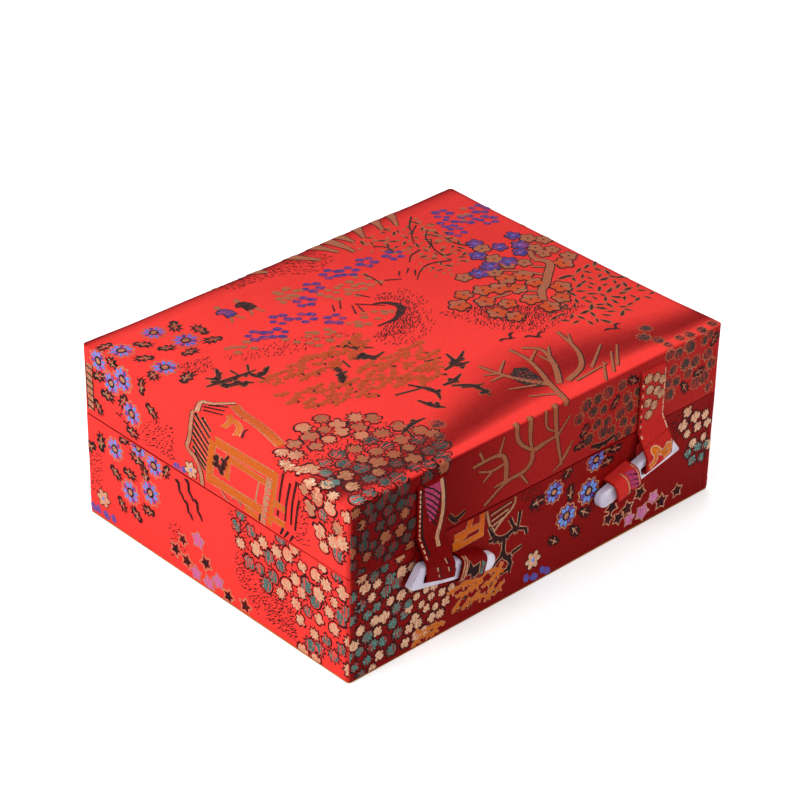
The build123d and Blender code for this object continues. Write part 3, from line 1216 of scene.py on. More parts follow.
class Motif(Enum):
    """The small woven shapes that repeat, each as layers of thread from the lowest up."""

    DOT = (Layer(Shade.BLACK, TEAR * (1.0, 0.7), 0.06),)
    PETAL = (Layer(Shade.VIOLET, OVAL, 0.10),)
    CRUMB = (Layer(Shade.TAN, OVAL, 0.10),)
    BIRD = (Layer(Shade.BLACK, BIRD, 0.10),)
    COMMA = (Layer(Shade.BLACK, COMMA * (1.25, 1.0), 0.10),)
    DAISY = (
        Layer(Shade.TAN, petals(10, 0.34, 0.84, 1.14, 0.31), 0.06),
        Layer(Shade.RED, petals(10, 0.30, 0.76, 1.03, 0.24), 0.09),
        Layer(Shade.BLUE, petals(10, 0.36, 0.66, 0.93, 0.18, 0.0, lambda number: number % 3 != 1), 0.12),
        Layer(Shade.VIOLET, petals(10, 0.36, 0.64, 0.88, 0.18, 0.0, lambda number: number % 3 == 1), 0.12),
        Layer(Shade.BLACK, lobes(2, 0.40, 0.0, 12), 0.14),
        Layer(Shade.TAN, lobes(2, 0.27, 0.0, 10, 0.0, 0.8), 0.18),
    )
    NIGHT_LEAF = (
        Layer(Shade.BLACK, FINGERS * 1.05, 0.09),
        Layer(Shade.RED, (np.array([(0.02, 0.06), (0.34, 0.10), (0.50, 0.22), (0.14, 0.20)]),
                          np.array([(-0.10, -0.22), (0.30, -0.26), (0.10, -0.14)])), 0.11),
        Layer(Shade.TAN, (ribbon(np.array([(-0.62, -0.08), (-0.1, -0.02), (0.72, 0.0)]), 0.17, 0.10),
                          ribbon(np.array([(-0.35, -0.05), (-0.08, 0.36)]), 0.14, 0.10),
                          ribbon(np.array([(-0.2, -0.04), (0.1, -0.38)]), 0.14, 0.10)), 0.13),
    )
    BEIGE_LEAF = leaf(Shade.BEIGE)
    TAN_LEAF = leaf(Shade.TAN)
    TEAL_LEAF = leaf(Shade.TEAL)
    BEIGE_SHELL = leaf(Shade.BEIGE, SHELL)
    TEAL_SHELL = leaf(Shade.TEAL, SHELL)
    TAN_SHELL = leaf(Shade.TAN, SHELL)
    BEIGE_CURL = leaf(Shade.BEIGE, CURL)
    TEAL_CURL = leaf(Shade.TEAL, CURL)
    TAN_CURL = leaf(Shade.TAN, CURL)
    KNOB = (Layer(Shade.TAN, spokes(7, 1.0, 0.68, 0.2) * (1.2, 0.9), 0.06),
            Layer(Shade.BLACK, spokes(7, 0.80, 0.42, 0.2) * (1.2, 0.9), 0.12))
    THORN = (Layer(Shade.TAN, FINGERS * 1.16, 0.06), Layer(Shade.BLACK, FINGERS * 0.94, 0.12))
    OLIVE_LEAF = (Layer(Shade.TAN, FAN, 0.06), Layer(Shade.RED, FAN * 0.86 + (0.03, 0.03), 0.09),
                  Layer(Shade.OLIVE, FAN * 0.74, 0.13))
    SEED = (Layer(Shade.TAN, TEAR * (1.0, 0.8), 0.06),
        Layer(Shade.BLACK, TEAR * (0.7, 0.5) + (0.1, 0.03), 0.11))
    BLOSSOM = (
        Layer(Shade.BLACK, lobes(5, 1.14, 0.26, 20), 0.07),
        Layer(Shade.TAN, lobes(5, 0.96, 0.30, 20), 0.12),
        Layer(Shade.ORANGE, lobes(5, 0.96, 0.30, 20)[:12], 0.15),
        Layer(Shade.BLACK, lobes(4, 0.16, 0.3, 8), 0.17),
    )
    BROWN_BLOSSOM = (Layer(Shade.BLACK, lobes(5, 1.14, 0.26, 20), 0.07),
        Layer(Shade.TAN, lobes(5, 0.96, 0.30, 20), 0.12), Layer(Shade.BLACK, lobes(4, 0.16, 0.3, 8), 0.17))
    BLUE_BLOSSOM = (
        Layer(Shade.BLACK, lobes(5, 1.12, 0.28, 20), 0.07),
        Layer(Shade.VIOLET, lobes(5, 0.98, 0.30, 20), 0.12),
        Layer(Shade.BLUE, spokes(5, 0.50, 0.12, 0.63), 0.15),
    )
    NIGHT_STAR = (Layer(Shade.TAN, spokes(5, 1.22, 0.72, 0.3), 0.06),
        Layer(Shade.RED, spokes(5, 0.96, 0.52, 0.3), 0.09),
        Layer(Shade.BLACK, spokes(5, 0.84, 0.42, 0.3), 0.12))
    PINK_STAR = (Layer(Shade.TAN, spokes(5, 1.14, 0.74, 0.3), 0.06),
        Layer(Shade.PINK, spokes(5, 0.94, 0.60, 0.3), 0.12))
    BEIGE_FLOWER = (Layer(Shade.BLACK, lobes(6, 1.1, 0.3, 24), 0.05),
        Layer(Shade.BEIGE, lobes(6, 1.0, 0.42, 24), 0.12), Layer(Shade.BLUE, lobes(2, 0.2, 0.0, 8), 0.16))


def inside(points: Array, region: Sequence[Point]) -> Array:
    """Which points lie in a region.

    Args:
        points: places on a face.
        region: the corners of an area.

    Returns:
        True for each point that does.
    """
    x, y = points.T
    found = np.zeros(len(points), bool)
    corners = list(region)
    for (x1, y1), (x2, y2) in zip(corners, corners[1:] + corners[:1]):
        if y1 == y2:
            continue
        crosses = (y1 > y) != (y2 > y)
        found ^= crosses & (x < (x2 - x1) * (y - y1) / (y2 - y1) + x1)
    return found


def sown(region: Sequence[Point], spacing: float, seed: int, jitter: float = 0.28,
        row: float = 0.87) -> Array:
    """Places in staggered rows over a region, each moved a little.

    Args:
        region: the corners of an area.
        spacing: the distance between neighbours.
        seed: for the random part.
        jitter: how far each is moved, as a share of the spacing.
        row: how far rows are apart, as such a share.

    Returns:
        The places.
    """
    corners = np.array(region, float)
    low, high = corners.min(axis=0), corners.max(axis=0)
    rows = np.arange(low[1], high[1], spacing * row)
    found = []
    for number, level in enumerate(rows):
        across = np.arange(low[0] + (number % 2) * spacing / 2, high[0], spacing)
        found.append(np.column_stack([across, np.full(len(across), level)]))
    points = np.vstack(found)
    points = points + np.random.default_rng(seed).uniform(-jitter, jitter, points.shape) * spacing
    return points[inside(points, corners)]


class Scatter:
    """Geometry Nodes that put one motif layer on every spot, turned and sized by the spot's own numbers."""

    def __init__(self) -> None:
        """Builds the tree once."""
        tree = bpy.data.node_groups.new("scatter_motif", "GeometryNodeTree")
        face = tree.interface
        face.new_socket("Spots", in_out="INPUT", socket_type="NodeSocketGeometry")
        self.layer = face.new_socket("Layer", in_out="INPUT", socket_type="NodeSocketObject").identifier
        self.thread = face.new_socket("Thread", in_out="INPUT", socket_type="NodeSocketMaterial").identifier
        face.new_socket("Woven", in_out="OUTPUT", socket_type="NodeSocketGeometry")
        self.tree = tree
        given, result = self.add("NodeGroupInput"), self.add("NodeGroupOutput")
        turn, size = self.number("turn"), self.number("size")
        turned, sized = self.add("ShaderNodeCombineXYZ"), self.add("ShaderNodeCombineXYZ")
        self.link(turn, 0, turned, "Z")
        self.link(size, 0, sized, "X")
        self.link(size, 0, sized, "Y")
        sized.inputs["Z"].default_value = 1.0
        layer = self.add("GeometryNodeObjectInfo")
        layer.transform_space = "ORIGINAL"
        self.link(given, "Layer", layer, "Object")
        placed = self.add("GeometryNodeInstanceOnPoints")
        self.link(given, "Spots", placed, "Points")
        self.link(layer, "Geometry", placed, "Instance")
        self.link(turned, 0, placed, "Rotation")
        self.link(sized, 0, placed, "Scale")
        real, dyed = self.add("GeometryNodeRealizeInstances"), self.add("GeometryNodeSetMaterial")
        self.link(placed, 0, real, 0)
        self.link(real, 0, dyed, "Geometry")
        self.link(given, "Thread", dyed, "Material")
        self.link(dyed, 0, result, 0)

    def add(self, kind: str) -> bpy.types.Node:
        """One node of the tree."""
        return self.tree.nodes.new(kind)

    def number(self, name: str) -> bpy.types.Node:
        """A spot's own number.

        Args:
            name: the attribute's name.

        Returns:
            The node.
        """
        made = self.add("GeometryNodeInputNamedAttribute")
        made.data_type = "FLOAT"
        made.inputs["Name"].default_value = name
        return made

    def link(self, source: bpy.types.Node, out: int | str, target: bpy.types.Node, into: int | str) -> None:
        """Joins two nodes."""
        self.tree.links.new(source.outputs[out], target.inputs[into])

    def run(self, spots: Array, turns: Array, sizes: Array, layer: bpy.types.Object,
            thread: bpy.types.Material) -> bpy.types.Mesh:
        """Scatters one layer.

        Args:
            spots: places on the flat cloth.
            turns: how far each is turned, in radians.
            sizes: the size of each.
            layer: the plate to repeat.
            thread: its finish.

        Returns:
            A plain mesh of all of them.
        """
        flat = np.column_stack([spots, np.zeros(len(spots))])
        carrier = mesh_object("spots", flat, [], None, False)
        numbers(carrier, "turn", turns)
        numbers(carrier, "size", sizes)
        scatter = carrier.modifiers.new("scatter", "NODES")
        scatter.node_group = self.tree
        scatter[self.layer] = layer
        scatter[self.thread] = thread
        made = evaluated_mesh(carrier)
        bpy.data.objects.remove(carrier)
        return made


PLATE_ROOT = -0.14


def plate(outline: Array, rise: float) -> tuple[Array, list[list[int]]]:
    """A thin closed plate over an outline, rooted in the cloth below it.

    Args:
        outline: a closed outline.
        rise: how far it stands out.

    Returns:
        The points, and the faces by vertex number.
    """
    outline = np.asarray(outline, float)
    x, y = outline.T
    if np.sum(x * np.roll(y, -1) - y * np.roll(x, -1)) < 0:
        outline = outline[::-1]
    count = len(outline)
    upper = np.column_stack([outline, np.full(count, rise)])
    lower = np.column_stack([outline, np.full(count, PLATE_ROOT)])
    sides = [[i, (i + 1) % count, (i + 1) % count + count, i + count] for i in range(count)]
    top = list(range(count))
    walls = [[a, d, c, b] for a, b, c, d in sides]
    return np.vstack([upper, lower]), [top, [i + count for i in reversed(top)], *walls]


def woven_piece(name: str, mesh: bpy.types.Mesh, shade: Shade) -> bpy.types.Object:
    """A piece of one thread, from a mesh of its plates.

    Args:
        name: the piece's name.
        mesh: its plates.
        shade: the thread.

    Returns:
        The piece, riding on nothing yet.
    """
    mesh.materials.clear()
    mesh.materials.append(shade.value.material())
    mesh.polygons.foreach_set("material_index", np.zeros(len(mesh.polygons), np.int32))
    mesh.shade_flat()
    return placed(name, mesh)


class Cloth:
    """One piece of brocade: its wrap on the box, its ground and the pattern that is woven into it."""

    roll_cuts = (-26.0, -20.0, -15.0, -11.0, -8.0, -5.5, -3.5, -1.8, -1.2, -0.6, -0.2, 0.0, 0.8, 1.8, 3.6,
        5.4, 7.2)
    corner_cuts = (-1.2, -0.6, -0.2)
    off_corner = 0.2
    edge_sinks = 0.05
    near_bend = 5.0
    cut_tolerance = 0.01

    def __init__(self, name: str, wrap: Wrap, low: float, high: float, scatter: Scatter) -> None:
        """Starts a cloth.

        Args:
            name: what its pieces are called after.
            wrap: how it lies on the box.
            low: the first w of its walls that the pattern may reach.
            high: the last w.
            scatter: the tree that repeats motifs.
        """
        self.name = name
        self.wrap = wrap
        self.low, self.high = low, high
        self.scatter = scatter
        self.work: dict[tuple[Shade, bool], bmesh.types.BMesh] = {}

    def shows(self, points: Array) -> Array:
        """Which points of the uncut cloth are on this piece.

        Args:
            points: places on the uncut cloth.

        Returns:
            True for each point that is.
        """
        past = np.abs(points) - np.array(self.wrap.half)
        deepest = past.max(axis=1)
        corner = np.all(past > 0.5, axis=1)
        start = -1e9 if self.wrap.has_top else self.low
        return (deepest > start) & (deepest < self.high) & ~corner

    def bends(self, points: Array) -> Array:
        """Which points are near the rolled edge, where plates are cut finely.

        Args:
            points: places on the uncut cloth.

        Returns:
            True for each point that is.
        """
        past = (np.abs(points) - np.array(self.wrap.half)).max(axis=1)
        low, high = -self.wrap.roll_start - self.near_bend, self.wrap.roll_end + self.near_bend
        return (past > low) & (past < high) & self.wrap.has_top

    def bench(self, shade: Shade, bent: bool) -> bmesh.types.BMesh:
        """The mesh that gathers one thread's plates.

        Args:
            shade: the thread.
            bent: whether the plates lie near the rolled edge.

        Returns:
            That mesh.
        """
        key = (shade, bool(bent))
        if key not in self.work:
            self.work[key] = bmesh.new()
        return self.work[key]

    def add(self, mesh: bpy.types.Mesh, shade: Shade, bent: bool) -> None:
        """Adds a finished flat mesh."""
        self.bench(shade, bent).from_mesh(mesh)
        bpy.data.meshes.remove(mesh)

    def shape(self, panel: Panel, shade: Shade, outline: Array, rise: float = 0.10) -> None:
        """Weaves one outline of a face.

        Args:
            panel: the face.
            shade: the thread.
            outline: closed, on that face.
            rise: how far it stands out.
        """
        laid = panel.lay(outline)
        if not self.shows(laid.mean(axis=0)[None, :])[0]:
            return
        points, faces = plate(laid, rise)
        mesh = bpy.data.meshes.new("plate")
        mesh.from_pydata(points.tolist(), [], faces)
        self.add(mesh, shade, bool(self.bends(laid).any()))

    def stroke(self, panel: Panel, shade: Shade, points: Sequence[Point], start: float, end: float,
               edge: float = 0.0, under: Shade = Shade.BLACK, rise: float = 0.12, belly: float = 0.0,
               shift: Point = (0.0, 0.0)) -> None:
        """Weaves a line that tapers, with an edge of another thread under it.

        Args:
            panel: the face.
            shade: the line's thread.
            points: its bends.
            start: the width where it starts.
            end: the width where it ends.
            edge: how far the thread below shows on each side.
            under: the thread below.
            rise: how high it stands.
            belly: how much wider it is half way.
            shift: how far the thread below is moved, for a line with a dark side.
        """
        line = smooth_line(points)
        if edge > 0:
            below = ribbon(line + shift, start + 2 * edge, end + 2 * edge, belly)
            self.shape(panel, under, below, rise - self.edge_sinks)
        self.shape(panel, shade, ribbon(line, start, end, belly), rise)

    def sow(self, panel: Panel, motif: Motif, spots: Sequence[Point] | Array, size: float,
            turns: Sequence[float] | float | None = None, spread: float = 0.15, seed: int = 1) -> None:
        """Weaves a motif on each spot of a face.

        Args:
            panel: the face.
            motif: what is woven.
            spots: where, on that face.
            size: half its width.
            turns: degrees for each spot or for all, or none for any way round.
            spread: how much the size varies.
            seed: for the random part.
        """
        spots = np.asarray(spots, float).reshape(-1, 2)
        chance = np.random.default_rng(seed)
        sizes = size * chance.uniform(1 - spread, 1 + spread, len(spots))
        any_turn = chance.uniform(0, 360, len(spots))
        degrees = any_turn if turns is None else np.broadcast_to(np.asarray(turns, float), len(spots))
        angles = np.radians(degrees + panel.value[0])
        laid = panel.lay(spots)
        seen = self.shows(laid)
        bent = self.bends(laid)
        for woven in motif.value:
            shade = woven.shade
            layer = mesh_object("layer", *woven.plates(), None, False)
            for group in (False, True):
                chosen = seen & (bent == group)
                if chosen.any():
                    thread = shade.value.material()
                    mesh = self.scatter.run(laid[chosen], angles[chosen], sizes[chosen], layer, thread)
                    self.add(mesh, shade, group)
            bpy.data.objects.remove(layer)

    def cut(self, work: bmesh.types.BMesh, pasts: Sequence[float]) -> None:
        """Cuts plates at distances past each of the top's edges, so that they can follow a bend there.

        Args:
            work: flat plates.
            pasts: the distances.
        """
        for axis, half in enumerate(self.wrap.half):
            for past in pasts:
                for side in (-1.0, 1.0):
                    at, facing = [0.0, 0.0, 0.0], [0.0, 0.0, 0.0]
                    at[axis], facing[axis] = side * (half + past), 1.0
                    slice_mesh(work, at, facing, self.cut_tolerance)

    def hold(self, flat: Array) -> Array:
        """Keeps points on the cloth: off its rims, and never between two walls at an upright corner.

        Args:
            flat: rows of across, along and height.

        Returns:
            The same rows, moved where they must be.
        """
        half = np.array(self.wrap.half)
        side = np.where(flat[:, :2] < 0, -1.0, 1.0)
        past = np.abs(flat[:, :2]) - half
        rows, deepest = np.arange(len(flat)), past.argmax(axis=1)
        start = -1e9 if self.wrap.has_top else self.low
        other = 1 - deepest
        past[rows, deepest] = np.clip(past[rows, deepest], start, self.high)
        on_wall = past[rows, deepest] > 0
        past[rows, other] = np.where(on_wall, np.minimum(past[rows, other], -self.off_corner),
            past[rows, other])
        return np.column_stack([side * (past + half), flat[:, 2]])

    def weave(self, body: str) -> list[bpy.types.Object]:
        """Wraps each thread's plates round the box.

        Args:
            body: the frame's body that they ride on.

        Returns:
            One piece for each thread.
        """
        made = []
        for shade in Shade:
            mesh = self.gathered(shade)
            if not mesh.vertices:
                bpy.data.meshes.remove(mesh)
                continue
            points, normals = self.wrap.wrap(self.hold(places(mesh)))
            move_to(mesh, points)
            piece = woven_piece(f"{self.name}_{shade.value.name}", mesh, shade)
            # painted light: the ground's painted sheen and shade and the threads' painted light and glints
            # are kept on each piece; ground keeps the satin's painted light for the red between floats
            ground = painted_ground_light(points, normals, self.wrap.seam_level)
            numbers(piece, "glow", ground if shade is Shade.RED else painted_thread_light(points, normals))
            numbers(piece, "ground", ground)
            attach(piece, body)
            made.append(piece)
        return made

    def gathered(self, shade: Shade) -> bpy.types.Mesh:
        """All plates of one thread, still flat, with their cuts.

        Args:
            shade: the thread.

        Returns:
            A flat mesh, empty where the thread isn't used.
        """
        joined = bmesh.new()
        for bent in (False, True):
            work = self.work.pop((shade, bent), None)
            if work is None:
                continue
            self.cut(work, self.roll_cuts if bent else self.corner_cuts)
            carrier = bpy.data.meshes.new("carrier")
            work.to_mesh(carrier)
            joined.from_mesh(carrier)
            work.free()
            bpy.data.meshes.remove(carrier)
        mesh = bpy.data.meshes.new("flat")
        joined.to_mesh(mesh)
        joined.free()
        return mesh


Region = Sequence[Point]
BEIGES = (Motif.BEIGE_LEAF, Motif.BEIGE_SHELL, Motif.BEIGE_CURL)
TANS = (Motif.TAN_LEAF, Motif.TAN_SHELL, Motif.TAN_CURL)
TEALS = (Motif.TEAL_LEAF, Motif.TEAL_SHELL, Motif.TEAL_CURL)


def moved(points: Sequence[Point], by: Point) -> list[Point]:
    """Points moved on a face."""
    return [(x + by[0], y + by[1]) for x, y in points]


@dataclass
class Vignettes:
    """The small scenes of the brocade, which repeat over its faces."""

    cloth: Cloth
    branch_width: float = 1.5
    coral_width: float = 1.5
    daisy_size: float = 4.9
    leaf_size: float = 3.7

    def lines(self, panel: Panel, shade: Shade, lines: Sequence[Region], start: float, end: float,
            by: Point = (0, 0), **more: object) -> None:
        """Weaves several lines of one kind."""
        for line in lines:
            self.cloth.stroke(panel, shade, moved(line, by), start, end, **more)

    def daisies(self, panel: Panel, flowers: Region, leaves: Region, size: float = 1.0) -> None:
        """Blue daisies among dark leaves."""
        self.cloth.sow(panel, Motif.NIGHT_LEAF, leaves, self.leaf_size * size, None, 0.12, 5)
        self.cloth.sow(panel, Motif.DAISY, flowers, self.daisy_size * size, None, 0.08, 3)

    def stipple(self, panel: Panel, region: Region, spacing: float = 1.25, seed: int = 7,
            turn: float = 35.0) -> None:
        """A field of small dark floats.

        Args:
            panel: the face.
            region: the corners of an area.
            spacing: the distance between neighbours.
            seed: for the random part.
            turn: how all are turned, in degrees.
        """
        spots = sown(region, spacing, seed, 0.42)
        keep = np.random.default_rng(seed + 1).uniform(0, 1, len(spots)) < 0.86
        self.cloth.sow(panel, Motif.DOT, spots[keep], 0.62, turn, 0.35, seed)

    def leaves(self, panel: Panel, motifs: Sequence[Motif], region: Region, spacing: float, size: float,
               seed: int) -> None:
        """A crowd of leaves, mixed from several motifs.

        Args:
            panel: the face.
            motifs: what is mixed.
            region: the corners of an area.
            spacing: the distance between neighbours.
            size: half a leaf's width.
            seed: for the random part.
        """
        spots = sown(region, spacing * 0.96, seed, 0.17)
        kinds = np.random.default_rng(seed + 2).integers(0, len(motifs), len(spots))
        for number, motif in enumerate(motifs):
            chosen = spots[kinds == number]
            if len(chosen):
                self.cloth.sow(panel, motif, chosen, size * 0.98, None, 0.17, seed + number)

    def coral(self, panel: Panel, lines: Sequence[Region], by: Point = (0, 0)) -> None:
        """Knobbly black branches with a tan edge.

        Args:
            panel: the face.
            lines: the branches.
            by: how far all is moved.
        """
        self.lines(panel, Shade.BLACK, lines, self.coral_width, self.coral_width * 0.7, by, edge=0.34,
            under=Shade.TAN, belly=0.5)
        self.cloth.sow(panel, Motif.KNOB, self.knots(lines, by), 1.7, None, 0.35, 11)

    def thorns(self, panel: Panel, lines: Sequence[Region], by: Point = (0, 0)) -> None:
        """Jagged black twigs.

        Args:
            panel: the face.
            lines: the branches.
            by: how far all is moved.
        """
        self.lines(panel, Shade.BLACK, lines, self.coral_width * 0.6, self.coral_width * 0.4, by, edge=0.2,
                   under=Shade.TAN, belly=1.1)
        self.cloth.sow(panel, Motif.THORN, self.knots(lines, by), 1.75, None, 0.3, 13)

    def knots(self, lines: Sequence[Region], by: Point) -> Array:
        """Places along and just off some lines."""
        spots = np.array([point for line in lines for point in moved(smooth_line(line, 1)[1:-1], by)])
        return spots + np.random.default_rng(12).uniform(-0.9, 0.9, spots.shape)

    def clouds(self, panel: Panel, region: Region, seed: int, spacing: float = 4.6) -> None:
        """Orange scrolls that wander with knobs on them, edged in tan.

        Args:
            panel: the face.
            region: the corners of an area.
            seed: for the random part.
            spacing: the distance between neighbours.
        """
        chance = np.random.default_rng(seed)
        for x, y in sown(region, spacing, seed, 0.3):
            turn = chance.uniform(-0.6, 0.9)
            steps = np.array([(-3.3, 0.6), (-2.3, -0.9), (-1.1, 1.0), (0.0, -0.8), (1.2, 1.0), (2.3, -0.7),
                (3.2, 0.7)])
            line = turned(steps * chance.uniform(0.7, 1.1), turn) + (x, y)
            aside = turned(np.array([(0.0, 1.0)]), turn)[0]
            self.cloth.stroke(panel, Shade.ORANGE, line, 0.35, 0.2, 0.26, Shade.TAN, 0.13, 0.95)
            for number, way in ((1, 1), (3, -1), (5, 1)):
                end = line[number] + way * chance.uniform(1.0, 2.2) * aside
                self.cloth.stroke(panel, Shade.ORANGE, [line[number], end], 0.7, 0.3, 0.25, Shade.TAN, 0.13)
            if chance.uniform() < 0.3:
                self.cloth.sow(panel, Motif.THORN, [(x + 1.4, y - 1.7)], 0.9, None, 0.3, seed)

    def bare_tree(self, panel: Panel, limbs: Sequence[Region], twigs: Sequence[Region],
            by: Point = (0, 0)) -> None:
        """A tan tree without leaves, dark on its lower side.

        Args:
            panel: the face.
            limbs: the thick branches.
            twigs: the thin ones.
            by: how far all is moved.
        """
        self.lines(panel, Shade.TAN, limbs, self.branch_width * 1.45, self.branch_width * 0.75, by,
            edge=0.26, shift=(0.2, -0.15))
        self.lines(panel, Shade.TAN, twigs, self.branch_width * 0.8, self.branch_width * 0.45, by, edge=0.2,
                   shift=(0.15, -0.12))

    def blossom_tree(self, panel: Panel, trunk: Region, blooms: Region, blues: Region,
            by: Point = (0, 0)) -> None:
        """A tan trunk under orange and blue blossom.

        Args:
            panel: the face.
            trunk: its bends.
            blooms: places of orange blossom.
            blues: places of blue blossom.
            by: how far all is moved.
        """
        self.cloth.stroke(panel, Shade.TAN, moved(trunk, by), 1.8, 2.6, 0.4, belly=0.8)
        self.cloth.sow(panel, Motif.BLOSSOM, moved(blooms, by), 3.9, None, 0.1, 21)
        self.cloth.sow(panel, Motif.BLUE_BLOSSOM, moved(blues, by), 3.6, None, 0.12, 22)

    def walker(self, panel: Panel, at: Point, robe: Shade) -> None:
        """A plain weaver's figure in a robe, with a bare round head and no features.

        Args:
            panel: the face.
            at: where the figure stands.
            robe: the robe's thread.
        """
        x, y = at
        def shape(shade: Shade, points: Region, rise: float) -> None:
            """One outline of the figure."""
            self.cloth.shape(panel, shade, np.array(points) + (x, y), rise)
        shape(Shade.TAN, lobes(2, 1.35, 0.0, 10) + (0.4, 7.4), 0.10)
        shape(Shade.BLACK, [(-3.0, 3.6), (-2.2, 5.4), (0.2, 6.3), (2.4, 5.2), (3.7, 2.6), (3.6, -0.6),
            (0.4, -1.2), (-1.5, -0.8), (-1.0, 2.6)], 0.07)
        shape(robe, [(-2.6, 3.6), (-1.9, 5.0), (0.2, 5.9), (2.1, 4.9), (3.3, 2.5), (3.2, -0.3), (0.5, -0.9),
                     (-1.0, -0.5), (-0.6, 2.6)], 0.12)
        shape(Shade.TAN, [(-0.8, -0.9), (0.6, -1.0), (-0.6, -3.4), (-1.8, -4.6), (-2.4, -4.2)], 0.10)
        shape(Shade.TAN, [(1.4, -1.0), (2.9, -0.8), (3.2, -3.4), (3.9, -5.0), (2.7, -5.0)], 0.10)

    def figure_pair(self, panel: Panel, at: Point) -> None:
        """Two walkers side by side."""
        self.walker(panel, at, Shade.VIOLET)
        self.walker(panel, (at[0] + 8.6, at[1] - 0.6), Shade.BLACK)


